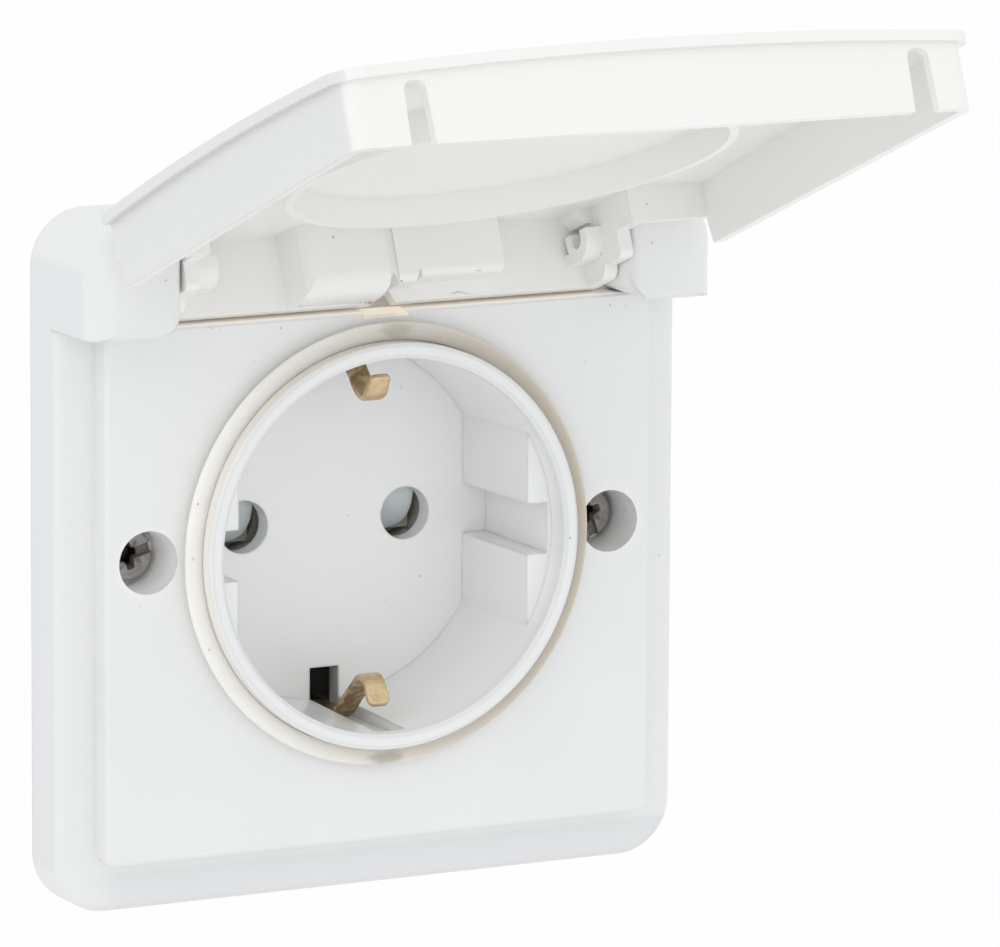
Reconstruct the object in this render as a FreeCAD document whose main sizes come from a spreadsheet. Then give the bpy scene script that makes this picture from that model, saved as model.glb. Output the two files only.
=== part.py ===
import FreeCAD, Part
import math
import os

import Sketcher

# Splash-proof flush-mounted socket outlet with a hinged lid, drawn with the lid open.
# X runs to the right, Y runs into the wall and Z runs up. The origin is on the socket's
# axis in the plane of the wall, so everything in front of the wall has a negative Y.
# A value called a depth is a distance in front of the wall, and one called a back is
# a distance behind it.

driving = {
    # outer frame
    "frameHalfWidth": 36.2,
    "frameHalfHeight": 36.6,
    "frameDrop": 0.5,
    "frameCornerRadius": 6.0,
    "frameDepth": 5.8,
    "frameEdgeRound": 1.2,
    "frameSideWall": 1.8,
    "frameFrontWall": 1.8,
    "frameBackStep": 1.15,
    "windowHalfWidth": 28.5,
    "windowHalfHeight": 27.5,
    "windowTop": 22.7,
    # hinge ears and the channel between them
    "earInnerX": 26.0,
    "earBottomZ": 24.35,
    "earDepth": 15.0,
    "earCornerRadius": 3.0,
    "earOuterRound": 3.4,
    "earEdgeRound": 1.0,
    "earWall": 1.8,
    "earHollowDepth": 6.6,
    "earHollowRound": 0.8,
    "channelFloorDepth": 2.6,
    "channelTopWall": 0.8,
    "channelCornerRadius": 3.0,
    "channelSillWall": 1.25,
    # front plate
    "plateHalfWidth": 31.65,
    "plateBottomZ": 31.7,
    "plateThickness": 2.75,
    "plateCornerRadius": 1.2,
    "plateEdgeChamfer": 0.35,
    "plateOpeningRadius": 22.45,
    "wellX": 26.87,
    "wellRadius": 3.32,
    "wellFloorDepth": 2.1,
    "bossWall": 0.95,
    "bossBayGap": 0.3,
    "rampTopHalf": 1.6,
    "rampBottomHalf": 2.85,
    "rampDrop": 0.7,
    "rampShift": 0.4,
    # socket insert
    "collarInnerRadius": 19.8,
    "collarOuterRadius": 21.48,
    "collarDepth": 11.95,
    "collarEdgeChamfer": 0.35,
    "recessFloorRadius": 19.25,
    "recessDepth": 16.9,
    "floorThickness": 2.2,
    "pinSpacing": 19.0,
    "pinHoleRadius": 2.83,
    "lugFaceAtFloor": 16.33,
    "lugFaceAtFront": 16.8,
    "lugFrontDepth": 9.0,
    "lugTopZ": 10.3,
    "lugSlotHalf": 2.7,
    "lugSlotBack": 19.15,
    "flangeRadius": 22.9,
    "flangeThickness": 1.5,
    "flangeHalfWidth": 16.0,
    # gasket round the collar
    "gasketClearance": 0.05,
    "gasketRadius": 23.4,
    "gasketFootRadius": 22.6,
    "gasketDepth": 10.25,
    "gasketEdge": 0.35,
    "gasketSleeveEnd": 6.4,
    # steel support yoke
    "yokeThickness": 1.0,
    "yokeHalf": 31.6,
    "yokeCornerCut": 6.0,
    "yokeOpeningRadius": 21.9,
    "boxScrewCircle": 30.0,
    "boxScrewHoleRadius": 1.9,
    "yokeTabHalfWidth": 1.75,
    "yokeTabThickness": 0.55,
    "yokeTabDepth": 6.2,
    # wall seal
    "sealWidth": 2.0,
    "sealThickness": 1.1,
    "sealClearance": 0.05,
    # earth bracket
    "stripThickness": 0.8,
    "stripHalfWidth": 1.25,
    "stripInnerZ": 19.7,
    "hookBendDepth": 5.7,
    "hookBendZ": 16.4,
    "hookBendRadius": 1.9,
    "hookLean": 41.4,
    "hookTipAngle": 30.0,
    "hookTipLength": 2.2,
    "slotClearance": 0.15,
    "slotHalfWidth": 1.7,
    "slotTopZ": 15.8,
    "channelFrontDepth": 10.4,
    # contact base
    "baseRadius": 20.7,
    "baseGrooveGap": 0.4,
    "baseLength": 22.4,
    "contactOuterRadius": 3.0,
    "contactInnerRadius": 2.42,
    "contactLength": 12.0,
    "contactGap": 0.35,
    "terminalWidth": 6.0,
    "terminalHeight": 6.4,
    "terminalLength": 9.0,
    "terminalZ": 9.4,
    "linkHalfWidth": 1.5,
    "linkThickness": 1.2,
    "baseBossRadius": 2.4,
    "baseBossLength": 4.6,
    "baseBossX": 7.5,
    "baseBossUpperZ": 13.2,
    "baseBossLowerZ": 9.0,
    # shutter
    "shutterPadWidth": 6.0,
    "shutterPadBottom": 2.3,
    "shutterTop": 4.2,
    "shutterBarHeight": 2.0,
    "shutterThickness": 1.9,
    "shutterShift": 0.65,
    "shutterRampEdge": 0.6,
    "shutterTravel": 5.0,
    "shutterGap": 0.3,
    "springChannelHalf": 1.5,
    "springTopZ": 13.6,
    "springWireRadius": 0.16,
    "springCoilRadius": 0.95,
    "springTurns": 5.0,
    # screws
    "coverHeadRadius": 2.85,
    "coverHeadHeight": 1.5,
    "coverShankRadius": 1.45,
    "coverShankLength": 8.0,
    "screwFit": 0.05,
    "screwHoleGap": 0.3,
    "slotWidth": 0.8,
    "slotDepth": 0.75,
    "crossLength": 3.4,
    "leftScrewTurn": 14.0,
    "rightScrewTurn": -84.0,
    "terminalHeadRadius": 2.4,
    "terminalHeadHeight": 1.8,
    "terminalShankRadius": 1.6,
    "terminalShankLength": 7.0,
    "baseScrewHeadRadius": 2.2,
    "baseScrewHeadHeight": 1.6,
    "baseScrewShankRadius": 1.2,
    # hinge
    "hingeDepth": 9.3,
    "hingeZ": 30.5,
    "lidOpenAngle": 112.0,
    "hingePinRadius": 1.0,
    "hingePinFit": 0.05,
    "hingePinLength": 8.0,
    "hingePinInset": 0.35,
    # lid, measured in the closed position
    "lidHalfWidth": 34.3,
    "lidReach": 64.4,
    "lidTopReach": 4.3,
    "lidWall": 1.15,
    "lidTopWall": 1.4,
    "lidShell": 1.6,
    "lidCrown": 6.3,
    "lidCrownRadius": 520.0,
    "lidCrownReach": 35.0,
    "lidCornerRadius": 2.0,
    "lipOverhang": 0.9,
    "lipThickness": 1.1,
    "lidSeatGap": 0.05,
    "hingeEdgeRound": 2.2,
    "notchReach": 8.0,
    "notchWall": 1.15,
    "notchWallDrop": 0.55,
    "skirtEndSlant": 1.6,
    "armGap": 0.25,
    "armWall": 1.5,
    "armReach": 5.4,
    "armFootReach": 1.5,
    "armRound": 0.8,
    "armDrop": 3.35,
    "hingeWallDrop": 4.6,
    "ringInnerRadius": 22.2,
    "ringWall": 0.9,
    "ringGap": 0.06,
    "clipOuterRadius": 2.35,
    "clipRise": 0.7,
    "leftClipLength": 3.9,
    "rightClipLength": 2.05,
    "tabWidth": 1.9,
    "tabRise": 1.5,
    "tabReach": 0.6,
    "tabSlant": 0.9,
    "hoodLeftX": 11.0,
    "hoodRightX": 0.5,
    "hoodSlant": 1.3,
    "hoodSoftEdge": 0.9,
    "hoodReach": 1.2,
    "hoodDrop": 4.4,
    "hoodRound": 2.6,
    "blockLeftX": 0.8,
    "blockRightX": 13.1,
    "blockReach": 0.6,
    "blockDrop": 2.8,
    "blockRound": 0.9,
    "blockNotchX": 3.3,
    "blockNotchHalf": 0.7,
    "blockNotchRise": 0.8,
    "blockStep": 0.45,
    "noseDrop": 3.3,
    "noseReach": 0.3,
    "splitLeftX": 1.1,
    "splitRightX": 1.6,
    "splitApexX": 0.3,
    "splitHeight": 2.4,
    "drainWidth": 2.4,
    "drainLeftX": 26.8,
    "drainRightX": 28.7,
    "drainRise": 2.95,
}

doc = FreeCAD.newDocument("WeatherproofSocket")
sheet = doc.addObject("Spreadsheet::Sheet", "Sizes")
for row, (alias, number) in enumerate(driving.items(), start=1):
    sheet.set("A%d" % row, alias)
    sheet.set("B%d" % row, str(number))
    sheet.setAlias("B%d" % row, alias)
doc.recompute()


class Size:
    """A length or angle, kept as an expression on the sheet together with its value."""

    def __init__(self, text, value):
        self.text = text
        self.value = value

    def join(self, other, sign, value):
        return Size("(%s %s %s)" % (self.text, sign, other.text), value)

    def __add__(self, other):
        other = size(other)
        return self.join(other, "+", self.value + other.value)

    def __radd__(self, other):
        return size(other) + self

    def __sub__(self, other):
        other = size(other)
        return self.join(other, "-", self.value - other.value)

    def __rsub__(self, other):
        return size(other) - self

    def __mul__(self, other):
        other = size(other)
        return self.join(other, "*", self.value * other.value)

    def __rmul__(self, other):
        return size(other) * self

    def __truediv__(self, other):
        other = size(other)
        return self.join(other, "/", self.value / other.value)

    def __neg__(self):
        return Size("(-1 * %s)" % self.text, -self.value)


def size(number):
    if isinstance(number, Size):
        return number
    return Size("(%s)" % number, float(number))


def sine(angle):
    return Size("sin(%s * 1 deg)" % angle.text, math.sin(math.radians(angle.value)))


def cosine(angle):
    return Size("cos(%s * 1 deg)" % angle.text, math.cos(math.radians(angle.value)))


class Sheet:
    """Gives each driving size by its alias."""

    def __getattr__(self, alias):
        return Size("Sizes.%s" % alias, driving[alias])


s = Sheet()
pieces = {}


def drive(thing, path, amount):
    """Ties one property of an object to the sheet."""
    thing.setExpression(path, size(amount).text)


def bend(start, end, radius, turn):
    """Centre of the arc from start to end that turns left (1) or right (-1)."""
    across = (end[0] - start[0]) / 2
    up = (end[1] - start[1]) / 2
    half = math.hypot(across, up)
    rise = math.sqrt(max(radius * radius - half * half, 0.0)) / half * turn
    return FreeCAD.Vector(start[0] + across - up * rise, start[1] + up + across * rise, 0)


def draw(sketch, path):
    """Adds a closed outline. A point is (x, y), or (x, y, radius, turn) where an arc leads to it."""
    count = len(path)
    points = [(size(step[0]), size(step[1])) for step in path]
    ends = []
    for number in range(count):
        step = path[number]
        before = points[number - 1]
        here = points[number]
        start = FreeCAD.Vector(before[0].value, before[1].value, 0)
        end = FreeCAD.Vector(here[0].value, here[1].value, 0)
        if len(step) == 2:
            edge = sketch.addGeometry(Part.LineSegment(start, end), False)
            ends.append((edge, 1, 2))
            continue
        radius = size(step[2])
        centre = bend(start, end, radius.value, step[3])
        first, last = (start, end) if step[3] > 0 else (end, start)
        low = math.atan2(first.y - centre.y, first.x - centre.x)
        high = math.atan2(last.y - centre.y, last.x - centre.x)
        ring = Part.Circle(centre, FreeCAD.Vector(0, 0, 1), radius.value)
        edge = sketch.addGeometry(Part.ArcOfCircle(ring, low, high if high > low else high + 2 * math.pi), False)
        ends.append((edge, 1, 2) if step[3] > 0 else (edge, 2, 1))
        index = sketch.addConstraint(Sketcher.Constraint("Radius", edge, radius.value))
        sketch.setExpression("Constraints[%d]" % index, radius.text)
    for number in range(count):
        edge, first, last = ends[number]
        after = ends[(number + 1) % count]
        sketch.addConstraint(Sketcher.Constraint("Coincident", edge, last, after[0], after[1]))
        for kind, amount in zip(("DistanceX", "DistanceY"), points[number]):
            index = sketch.addConstraint(Sketcher.Constraint(kind, -1, 1, edge, last, amount.value))
            sketch.setExpression("Constraints[%d]" % index, amount.text)


def drawCircle(sketch, x, y, radius):
    x, y, radius = size(x), size(y), size(radius)
    centre = FreeCAD.Vector(x.value, y.value, 0)
    edge = sketch.addGeometry(Part.Circle(centre, FreeCAD.Vector(0, 0, 1), radius.value), False)
    for kind, amount in (("DistanceX", x), ("DistanceY", y)):
        index = sketch.addConstraint(Sketcher.Constraint(kind, -1, 1, edge, 3, amount.value))
        sketch.setExpression("Constraints[%d]" % index, amount.text)
    index = sketch.addConstraint(Sketcher.Constraint("Radius", edge, radius.value))
    sketch.setExpression("Constraints[%d]" % index, radius.text)


def box(left, right, bottom, top):
    """Outline of an upright rectangle."""
    return [(left, bottom), (right, bottom), (right, top), (left, top)]


def roundedBox(left, right, bottom, top, low, high):
    """Rectangle whose lower corners have the radius low and whose upper ones have high."""
    return [
        (left, bottom + low),
        (left + low, bottom, low, 1),
        (right - low, bottom),
        (right, bottom + low, low, 1),
        (right, top - high),
        (right - high, top, high, 1),
        (left + high, top),
        (left, top - high, high, 1),
    ]


# A sketch's plane, and the direction in which its offset is counted.
planes = {"front": "XZ_Plane", "side": "YZ_Plane", "level": "XY_Plane"}
turns = {
    "front": FreeCAD.Rotation(FreeCAD.Vector(1, 0, 0), 90),
    "side": FreeCAD.Rotation(FreeCAD.Vector(1, 1, 1), 120),
    "level": FreeCAD.Rotation(),
}


class Moulding:
    """One piece made as a body of padded, pocketed and turned sketches."""

    def __init__(self, label):
        self.label = label
        self.body = doc.addObject("PartDesign::Body", label)
        self.body.Label = label
        self.count = 0
        pieces[label] = self.body

    def name(self, kind):
        self.count += 1
        return "%s_%s_%d" % (self.label, kind, self.count)

    def plane(self, role):
        return next(item for item in self.body.Origin.OriginFeatures if item.Role == role)

    def sketch(self, view, offset):
        """A sketch seen from the front, side or top, moved by offset towards the viewer."""
        sketch = self.body.newObject("Sketcher::SketchObject", self.name("sketch"))
        sketch.AttachmentSupport = [(self.plane(planes[view]), "")]
        sketch.MapMode = "FlatFace"
        drive(sketch, ".AttachmentOffset.Base.z", offset)
        return sketch

    def outline(self, view, offset, *paths):
        sketch = self.sketch(view, offset)
        for path in paths:
            draw(sketch, path)
        return sketch

    def circles(self, view, offset, *rings):
        sketch = self.sketch(view, offset)
        for ring in rings:
            drawCircle(sketch, *ring)
        return sketch

    def extrude(self, kind, sketch, length, backwards, symmetric):
        feature = self.body.newObject(kind, self.name(kind.split("::")[1].lower()))
        feature.Profile = sketch
        drive(feature, "Length", length)
        feature.Reversed = backwards
        if symmetric:
            feature.SideType = "Symmetric"
        self.body.Tip = feature
        doc.recompute()
        return feature

    def pad(self, sketch, length, backwards=False, symmetric=False):
        return self.extrude("PartDesign::Pad", sketch, length, backwards, symmetric)

    def pocket(self, sketch, length, backwards=False, symmetric=False):
        return self.extrude("PartDesign::Pocket", sketch, length, backwards, symmetric)

    def turn(self, sketch, role):
        feature = self.body.newObject("PartDesign::Revolution", self.name("turn"))
        feature.Profile = sketch
        feature.ReferenceAxis = (self.plane(role), [""])
        feature.Angle = 360
        self.body.Tip = feature
        doc.recompute()
        return feature

    def mirror(self, feature, role):
        copy = self.body.newObject("PartDesign::Mirrored", self.name("mirror"))
        copy.Originals = [feature]
        copy.MirrorPlane = (self.plane(role), [""])
        self.body.Tip = copy
        doc.recompute()
        return copy

    def dress(self, kind, wanted, prop, amount):
        """Rounds or bevels the edges that satisfy the test."""
        base = self.body.Tip
        names = ["Edge%d" % (n + 1) for n, edge in enumerate(base.Shape.Edges) if wanted(edge)]
        feature = self.body.newObject("PartDesign::" + kind, self.name(kind.lower()))
        feature.Base = (base, names)
        drive(feature, prop, amount)
        self.body.Tip = feature
        doc.recompute()
        return feature

    def fillet(self, wanted, radius):
        return self.dress("Fillet", wanted, "Radius", radius)

    def chamfer(self, wanted, width):
        return self.dress("Chamfer", wanted, "Size", width)


def near(first, second):
    return abs(first - second) < 0.01


# Pieces made of separate primitives and sketches joined by booleans use these.
def looseSketch(name, view, offset, *paths):
    sketch = doc.addObject("Sketcher::SketchObject", name)
    axis = {"front": ("y", -1), "side": ("x", 1), "level": ("z", 1)}[view]
    sketch.Placement = FreeCAD.Placement(FreeCAD.Vector(), turns[view])
    drive(sketch, ".Placement.Base.%s" % axis[0], size(offset) * axis[1])
    for path in paths:
        draw(sketch, path)
    return sketch


def prism(name, view, offset, length, *paths):
    """Extrudes outlines towards the viewer from the given offset."""
    solid = doc.addObject("Part::Extrusion", name)
    solid.Base = looseSketch(name + "Sketch", view, offset, *paths)
    solid.DirMode = "Normal"
    solid.Solid = True
    drive(solid, "LengthFwd", length)
    return solid


def block(name, low, high):
    """A box between two opposite corners."""
    solid = doc.addObject("Part::Box", name)
    for axis, side, a, b in zip("xyz", ("Length", "Width", "Height"), low, high):
        drive(solid, ".Placement.Base.%s" % axis, a)
        drive(solid, side, size(b) - size(a))
    return solid


def rod(name, view, start, length, radius, x=0, y=0):
    """A cylinder that runs from its start towards the viewer, at x and y of that view."""
    solid = doc.addObject("Part::Cylinder", name)
    drive(solid, "Radius", radius)
    drive(solid, "Height", length)
    turn = {"front": (FreeCAD.Vector(1, 0, 0), 90), "side": (FreeCAD.Vector(0, 1, 0), 90), "level": None}[view]
    if turn:
        solid.Placement = FreeCAD.Placement(FreeCAD.Vector(), FreeCAD.Rotation(*turn))
    places = {"front": (x, -size(start), y), "side": (start, x, y), "level": (x, y, start)}[view]
    for axis, place in zip("xyz", places):
        drive(solid, ".Placement.Base.%s" % axis, place)
    return solid


def fuse(name, *solids):
    joined = doc.addObject("Part::MultiFuse", name)
    joined.Shapes = list(solids)
    return joined


def common(name, *solids):
    shared = doc.addObject("Part::MultiCommon", name)
    shared.Shapes = list(solids)
    return shared


def cut(name, base, *tools):
    result = doc.addObject("Part::Cut", name)
    result.Base = base
    result.Tool = tools[0] if len(tools) == 1 else fuse(name + "Tools", *tools)
    return result


def mirrored(name, solid):
    copy = doc.addObject("Part::Mirroring", name)
    copy.Source = solid
    copy.Normal = FreeCAD.Vector(1, 0, 0)
    return copy


# Planes that several pieces share.
insertFloorBack = s.recessDepth - s.collarDepth
insertBack = insertFloorBack + s.floorThickness
baseBack = insertBack + s.baseLength
frameTop = s.frameHalfHeight - s.frameDrop
frameBottom = -(s.frameHalfHeight + s.frameDrop)
channelTop = frameTop - s.channelTopWall
plateDepth = s.frameDepth + s.plateThickness
halfPins = s.pinSpacing / 2
armInner = s.earInnerX - s.armGap - s.armWall
armOuter = s.earInnerX - s.armGap


def makeFrame():
    """Moulded frame with a rounded rim, two hinge ears and the channel between them."""
    frame = Moulding("outer_frame")
    width, top, corner = s.frameHalfWidth, frameTop, s.frameCornerRadius
    rim = roundedBox(-width, width, frameBottom, top, corner, corner)
    frame.pad(frame.outline("front", 0, rim), s.frameDepth)
    onRim = -s.frameDepth.value
    frame.fillet(lambda edge: near(edge.BoundBox.YMin, onRim) and near(edge.BoundBox.YMax, onRim), s.frameEdgeRound)
    # the ears stand on the upper corners, flush with the sides and the top
    ear = [
        (s.earInnerX, s.earBottomZ + s.earCornerRadius),
        (s.earInnerX + s.earCornerRadius, s.earBottomZ, s.earCornerRadius, 1),
        (width, s.earBottomZ),
        (width, top - corner),
        (width - corner, top, corner, 1),
        (s.earInnerX, top),
    ]
    right = frame.pad(frame.outline("front", 0, ear), s.earDepth)
    frame.mirror(right, "YZ_Plane")
    onEar = -s.earDepth.value
    outerLimit = width.value - s.earOuterRound.value

    def earFront(edge):
        return near(edge.BoundBox.YMin, onEar) and near(edge.BoundBox.YMax, onEar)

    def outerEdge(edge):
        middle = edge.CenterOfMass
        reachesSide = abs(middle.x) > outerLimit
        reachesTop = middle.z > top.value - s.earOuterRound.value
        return earFront(edge) and (reachesSide or reachesTop)

    frame.fillet(outerEdge, s.earOuterRound)
    # the ears' edges towards the plate and the channel are rounded too
    edge, face, low, inside = s.earEdgeRound, -s.earDepth, s.earBottomZ, s.earInnerX
    under = [
        (face - 1, low - 1),
        (face + edge, low - 1),
        (face + edge, low),
        (face, low + edge, edge, -1),
        (face - 1, low + edge),
    ]
    frame.pocket(frame.outline("side", 0, under), 2 * width + 2, symmetric=True)
    beside = [
        (inside - 1, face - 1),
        (inside - 1, face + edge),
        (inside, face + edge),
        (inside + edge, face, edge, 1),
        (inside + edge, face - 1),
    ]
    frame.mirror(frame.pocket(frame.outline("level", top + 1, beside), top - low + 2), "YZ_Plane")
    # the channel takes the lid's hinge wall as it swings
    floor, radius = -s.channelFloorDepth, s.channelCornerRadius
    front = -(s.earDepth + 1)
    channel = [
        (front, s.earBottomZ),
        (floor - radius, s.earBottomZ),
        (floor, s.earBottomZ + radius, radius, 1),
        (floor, channelTop - radius),
        (floor - radius, channelTop, radius, 1),
        (front, channelTop),
    ]
    frame.pocket(frame.outline("side", 0, channel), 2 * s.earInnerX, symmetric=True)
    # window for the front plate's screw bosses and the insert
    window = roundedBox(-s.windowHalfWidth, s.windowHalfWidth, -s.windowHalfHeight, s.windowTop, size(2), size(2))
    frame.pocket(frame.outline("front", s.frameDepth, window), s.frameDepth)
    bay = s.wellRadius + s.bossWall + s.bossBayGap
    frame.pocket(frame.circles("front", s.frameDepth, (s.wellX, 0, bay), (-s.wellX, 0, bay)), s.frameDepth)
    # hollow back, deeper below the channel and shallow behind it
    inner, innerTop, innerBottom = width - s.frameSideWall, top - s.frameSideWall, frameBottom + s.frameSideWall
    innerCorner = corner - s.frameSideWall
    whole = roundedBox(-inner, inner, innerBottom, innerTop, innerCorner, innerCorner)
    frame.pocket(frame.outline("front", 0, whole), s.frameBackStep, backwards=True)
    deep = roundedBox(-inner, inner, innerBottom, s.earBottomZ - s.channelSillWall, innerCorner, size(0.6))
    frame.pocket(frame.outline("front", 0, deep), s.frameDepth - s.frameFrontWall, backwards=True)
    left, low, small = s.earInnerX + s.earWall, s.earBottomZ + s.earWall / 3, s.earHollowRound
    hollow = [
        (left, low + small),
        (left + small, low, small, 1),
        (inner - small, low),
        (inner, low + small, small, 1),
        (inner, innerTop - innerCorner),
        (inner - innerCorner, innerTop, innerCorner, 1),
        (left + small, innerTop),
        (left, innerTop - small, small, 1),
    ]
    sketch = frame.outline("front", 0, hollow)
    frame.mirror(frame.pocket(sketch, s.earHollowDepth, backwards=True), "YZ_Plane")
    # bores for the hinge pins
    end = armInner + s.hingePinInset + s.hingePinLength
    pins = frame.circles("side", end, (-s.hingeDepth, s.hingeZ, s.hingePinRadius + 0.02))
    frame.mirror(frame.pocket(pins, end - s.earInnerX + 1), "YZ_Plane")


def makePlate():
    """Front plate with the round opening, two screw wells and a drain ramp at the top."""
    plate = Moulding("front_plate")
    half, corner = s.plateHalfWidth, s.plateCornerRadius
    face = roundedBox(-half, half, -s.plateBottomZ, s.earBottomZ, corner, corner)
    plate.pad(plate.outline("front", s.frameDepth, face), s.plateThickness)
    front = -plateDepth.value
    plate.chamfer(lambda edge: near(edge.BoundBox.YMin, front) and near(edge.BoundBox.YMax, front), s.plateEdgeChamfer)
    boss = s.wellRadius + s.bossWall
    seat = s.yokeThickness
    plate.pad(plate.circles("front", seat, (s.wellX, 0, boss), (-s.wellX, 0, boss)), plateDepth - seat - 1)
    plate.pocket(plate.circles("front", plateDepth, (0, 0, s.plateOpeningRadius)), plateDepth)
    wells = plate.circles("front", plateDepth, (s.wellX, 0, s.wellRadius), (-s.wellX, 0, s.wellRadius))
    plate.pocket(wells, plateDepth - s.wellFloorDepth)
    hole = s.coverShankRadius + s.screwHoleGap
    plate.pocket(plate.circles("front", plateDepth, (s.wellX, 0, hole), (-s.wellX, 0, hole)), plateDepth)
    # the ramp falls away towards the hinge channel
    top, low = s.earBottomZ + 1, s.earBottomZ - s.rampDrop
    ramp = [
        (s.rampShift - s.rampBottomHalf, low),
        (s.rampShift + s.rampBottomHalf, low),
        (s.rampShift + s.rampTopHalf, top),
        (s.rampShift - s.rampTopHalf, top),
    ]
    plate.pocket(plate.outline("front", plateDepth, ramp), s.plateThickness * 0.8)


def makeInsert():
    """Round socket insert with the collar, the plug recess, side lugs and earth slots."""
    rim, edge = -s.collarDepth, s.collarEdgeChamfer
    profile = [
        (0, insertFloorBack),
        (s.recessFloorRadius, insertFloorBack),
        (s.collarInnerRadius, rim + edge),
        (s.collarInnerRadius + edge, rim),
        (s.collarOuterRadius - edge, rim),
        (s.collarOuterRadius, rim + edge),
        (s.collarOuterRadius, insertBack),
        (0, insertBack),
    ]
    cup = doc.addObject("Part::Revolution", "InsertCup")
    cup.Source = looseSketch("InsertProfile", "level", 0, profile)
    cup.Axis = FreeCAD.Vector(0, 1, 0)
    cup.Base = FreeCAD.Vector(0, 0, 0)
    cup.Angle = 360
    cup.Solid = True
    behind = s.floorThickness / 2
    front = s.lugFrontDepth
    lugProfile = [
        (s.lugFaceAtFloor, insertFloorBack + behind),
        (s.lugFaceAtFront, -front),
        (s.collarInnerRadius + 0.8, -front),
        (s.collarInnerRadius + 0.8, insertFloorBack + behind),
    ]
    rawLug = prism("LugPrism", "level", -s.lugTopZ, 2 * s.lugTopZ, lugProfile)
    limit = rod("LugLimit", "front", -insertBack, insertBack + s.collarDepth, s.collarInnerRadius + 0.8)
    slotLow = (s.lugFaceAtFloor - 2, -front - 1, -s.lugSlotHalf)
    slot = block("LugSlot", slotLow, (s.lugSlotBack, insertFloorBack, s.lugSlotHalf))
    lug = cut("Lug", common("LugRound", rawLug, limit), slot)
    ring = rod("FlangeDisc", "front", s.yokeThickness, s.flangeThickness, s.flangeRadius)
    flangeLow = (-s.flangeHalfWidth, -(s.yokeThickness + s.flangeThickness), -s.flangeRadius)
    flangeHigh = (s.flangeHalfWidth, -s.yokeThickness, s.flangeRadius)
    flangeBand = common("FlangeBand", ring, block("FlangeLimit", flangeLow, flangeHigh))
    flange = cut("Flange", flangeBand, rod("FlangeBore", "front", 0, s.frameDepth, s.collarOuterRadius - 0.5))
    bosses = [
        rod("InsertBoss%d" % n, "front", -(insertBack + s.baseBossLength), s.baseBossLength, s.baseBossRadius, x, z)
        for n, (x, z) in enumerate(bossPlaces())
    ]
    whole = fuse("InsertWhole", cup, lug, mirrored("LugMirror", lug), flange, *bosses)
    through = s.floorThickness + 2
    tools = []
    for side, x in (("Left", -halfPins), ("Right", halfPins)):
        tools.append(rod("PinHole" + side, "front", -(insertBack + 1), through, s.pinHoleRadius, x, 0))
    for n, (x, z) in enumerate(bossPlaces()):
        length = s.baseBossLength + s.floorThickness / 2
        start = -(insertBack + s.baseBossLength)
        tools.append(rod("BossBore%d" % n, "front", start, length, s.baseScrewShankRadius + s.screwFit, x, z))
    channelBottom = s.stripInnerZ + s.stripThickness + s.slotClearance
    tabOut = s.collarOuterRadius + 0.1
    for side, sign in (("Lower", -1), ("Upper", 1)):
        slotLow, slotHigh = sorted((sign * s.slotTopZ, sign * channelBottom), key=lambda item: item.value)
        tools.append(
            block("EarthSlot" + side, (-s.slotHalfWidth, insertFloorBack - 1, slotLow),
                  (s.slotHalfWidth, insertBack + 1, slotHigh))
        )
        nearEdge, farEdge = sorted(
            (sign * (s.recessFloorRadius - 1), sign * channelBottom), key=lambda item: item.value
        )
        tools.append(
            block("EarthChannel" + side, (-s.slotHalfWidth, -s.channelFrontDepth, nearEdge),
                  (s.slotHalfWidth, insertFloorBack, farEdge))
        )
        tabLow, tabHigh = sorted((sign * tabOut, sign * (s.flangeRadius + 1)), key=lambda item: item.value)
        tabSide = s.yokeTabHalfWidth + s.screwHoleGap
        tools.append(
            block("TabSlot" + side, (-tabSide, -s.frameDepth, tabLow), (tabSide, 0, tabHigh))
        )
    pieces["socket_insert"] = cut("socket_insert", whole, *tools)


def bossPlaces():
    """Where the two screws that hold the contact base to the insert stand."""
    return ((s.baseBossX, s.baseBossUpperZ), (size(0), -s.baseBossLowerZ))


def makeGasket():
    """Soft ring between the collar and the front plate, with a lip over the plate's edge."""
    gasket = Moulding("collar_gasket")
    inner = s.collarOuterRadius + s.gasketClearance
    sleeve = s.plateOpeningRadius - s.gasketClearance
    front, edge = -s.gasketDepth, s.gasketEdge
    profile = [
        (inner, front),
        (s.gasketRadius - edge, front),
        (s.gasketRadius, front + edge),
        (s.gasketFootRadius, -plateDepth),
        (sleeve, -plateDepth),
        (sleeve, -s.gasketSleeveEnd),
        (inner, -s.gasketSleeveEnd),
    ]
    gasket.turn(gasket.outline("level", 0, profile), "Y_Axis")


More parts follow.
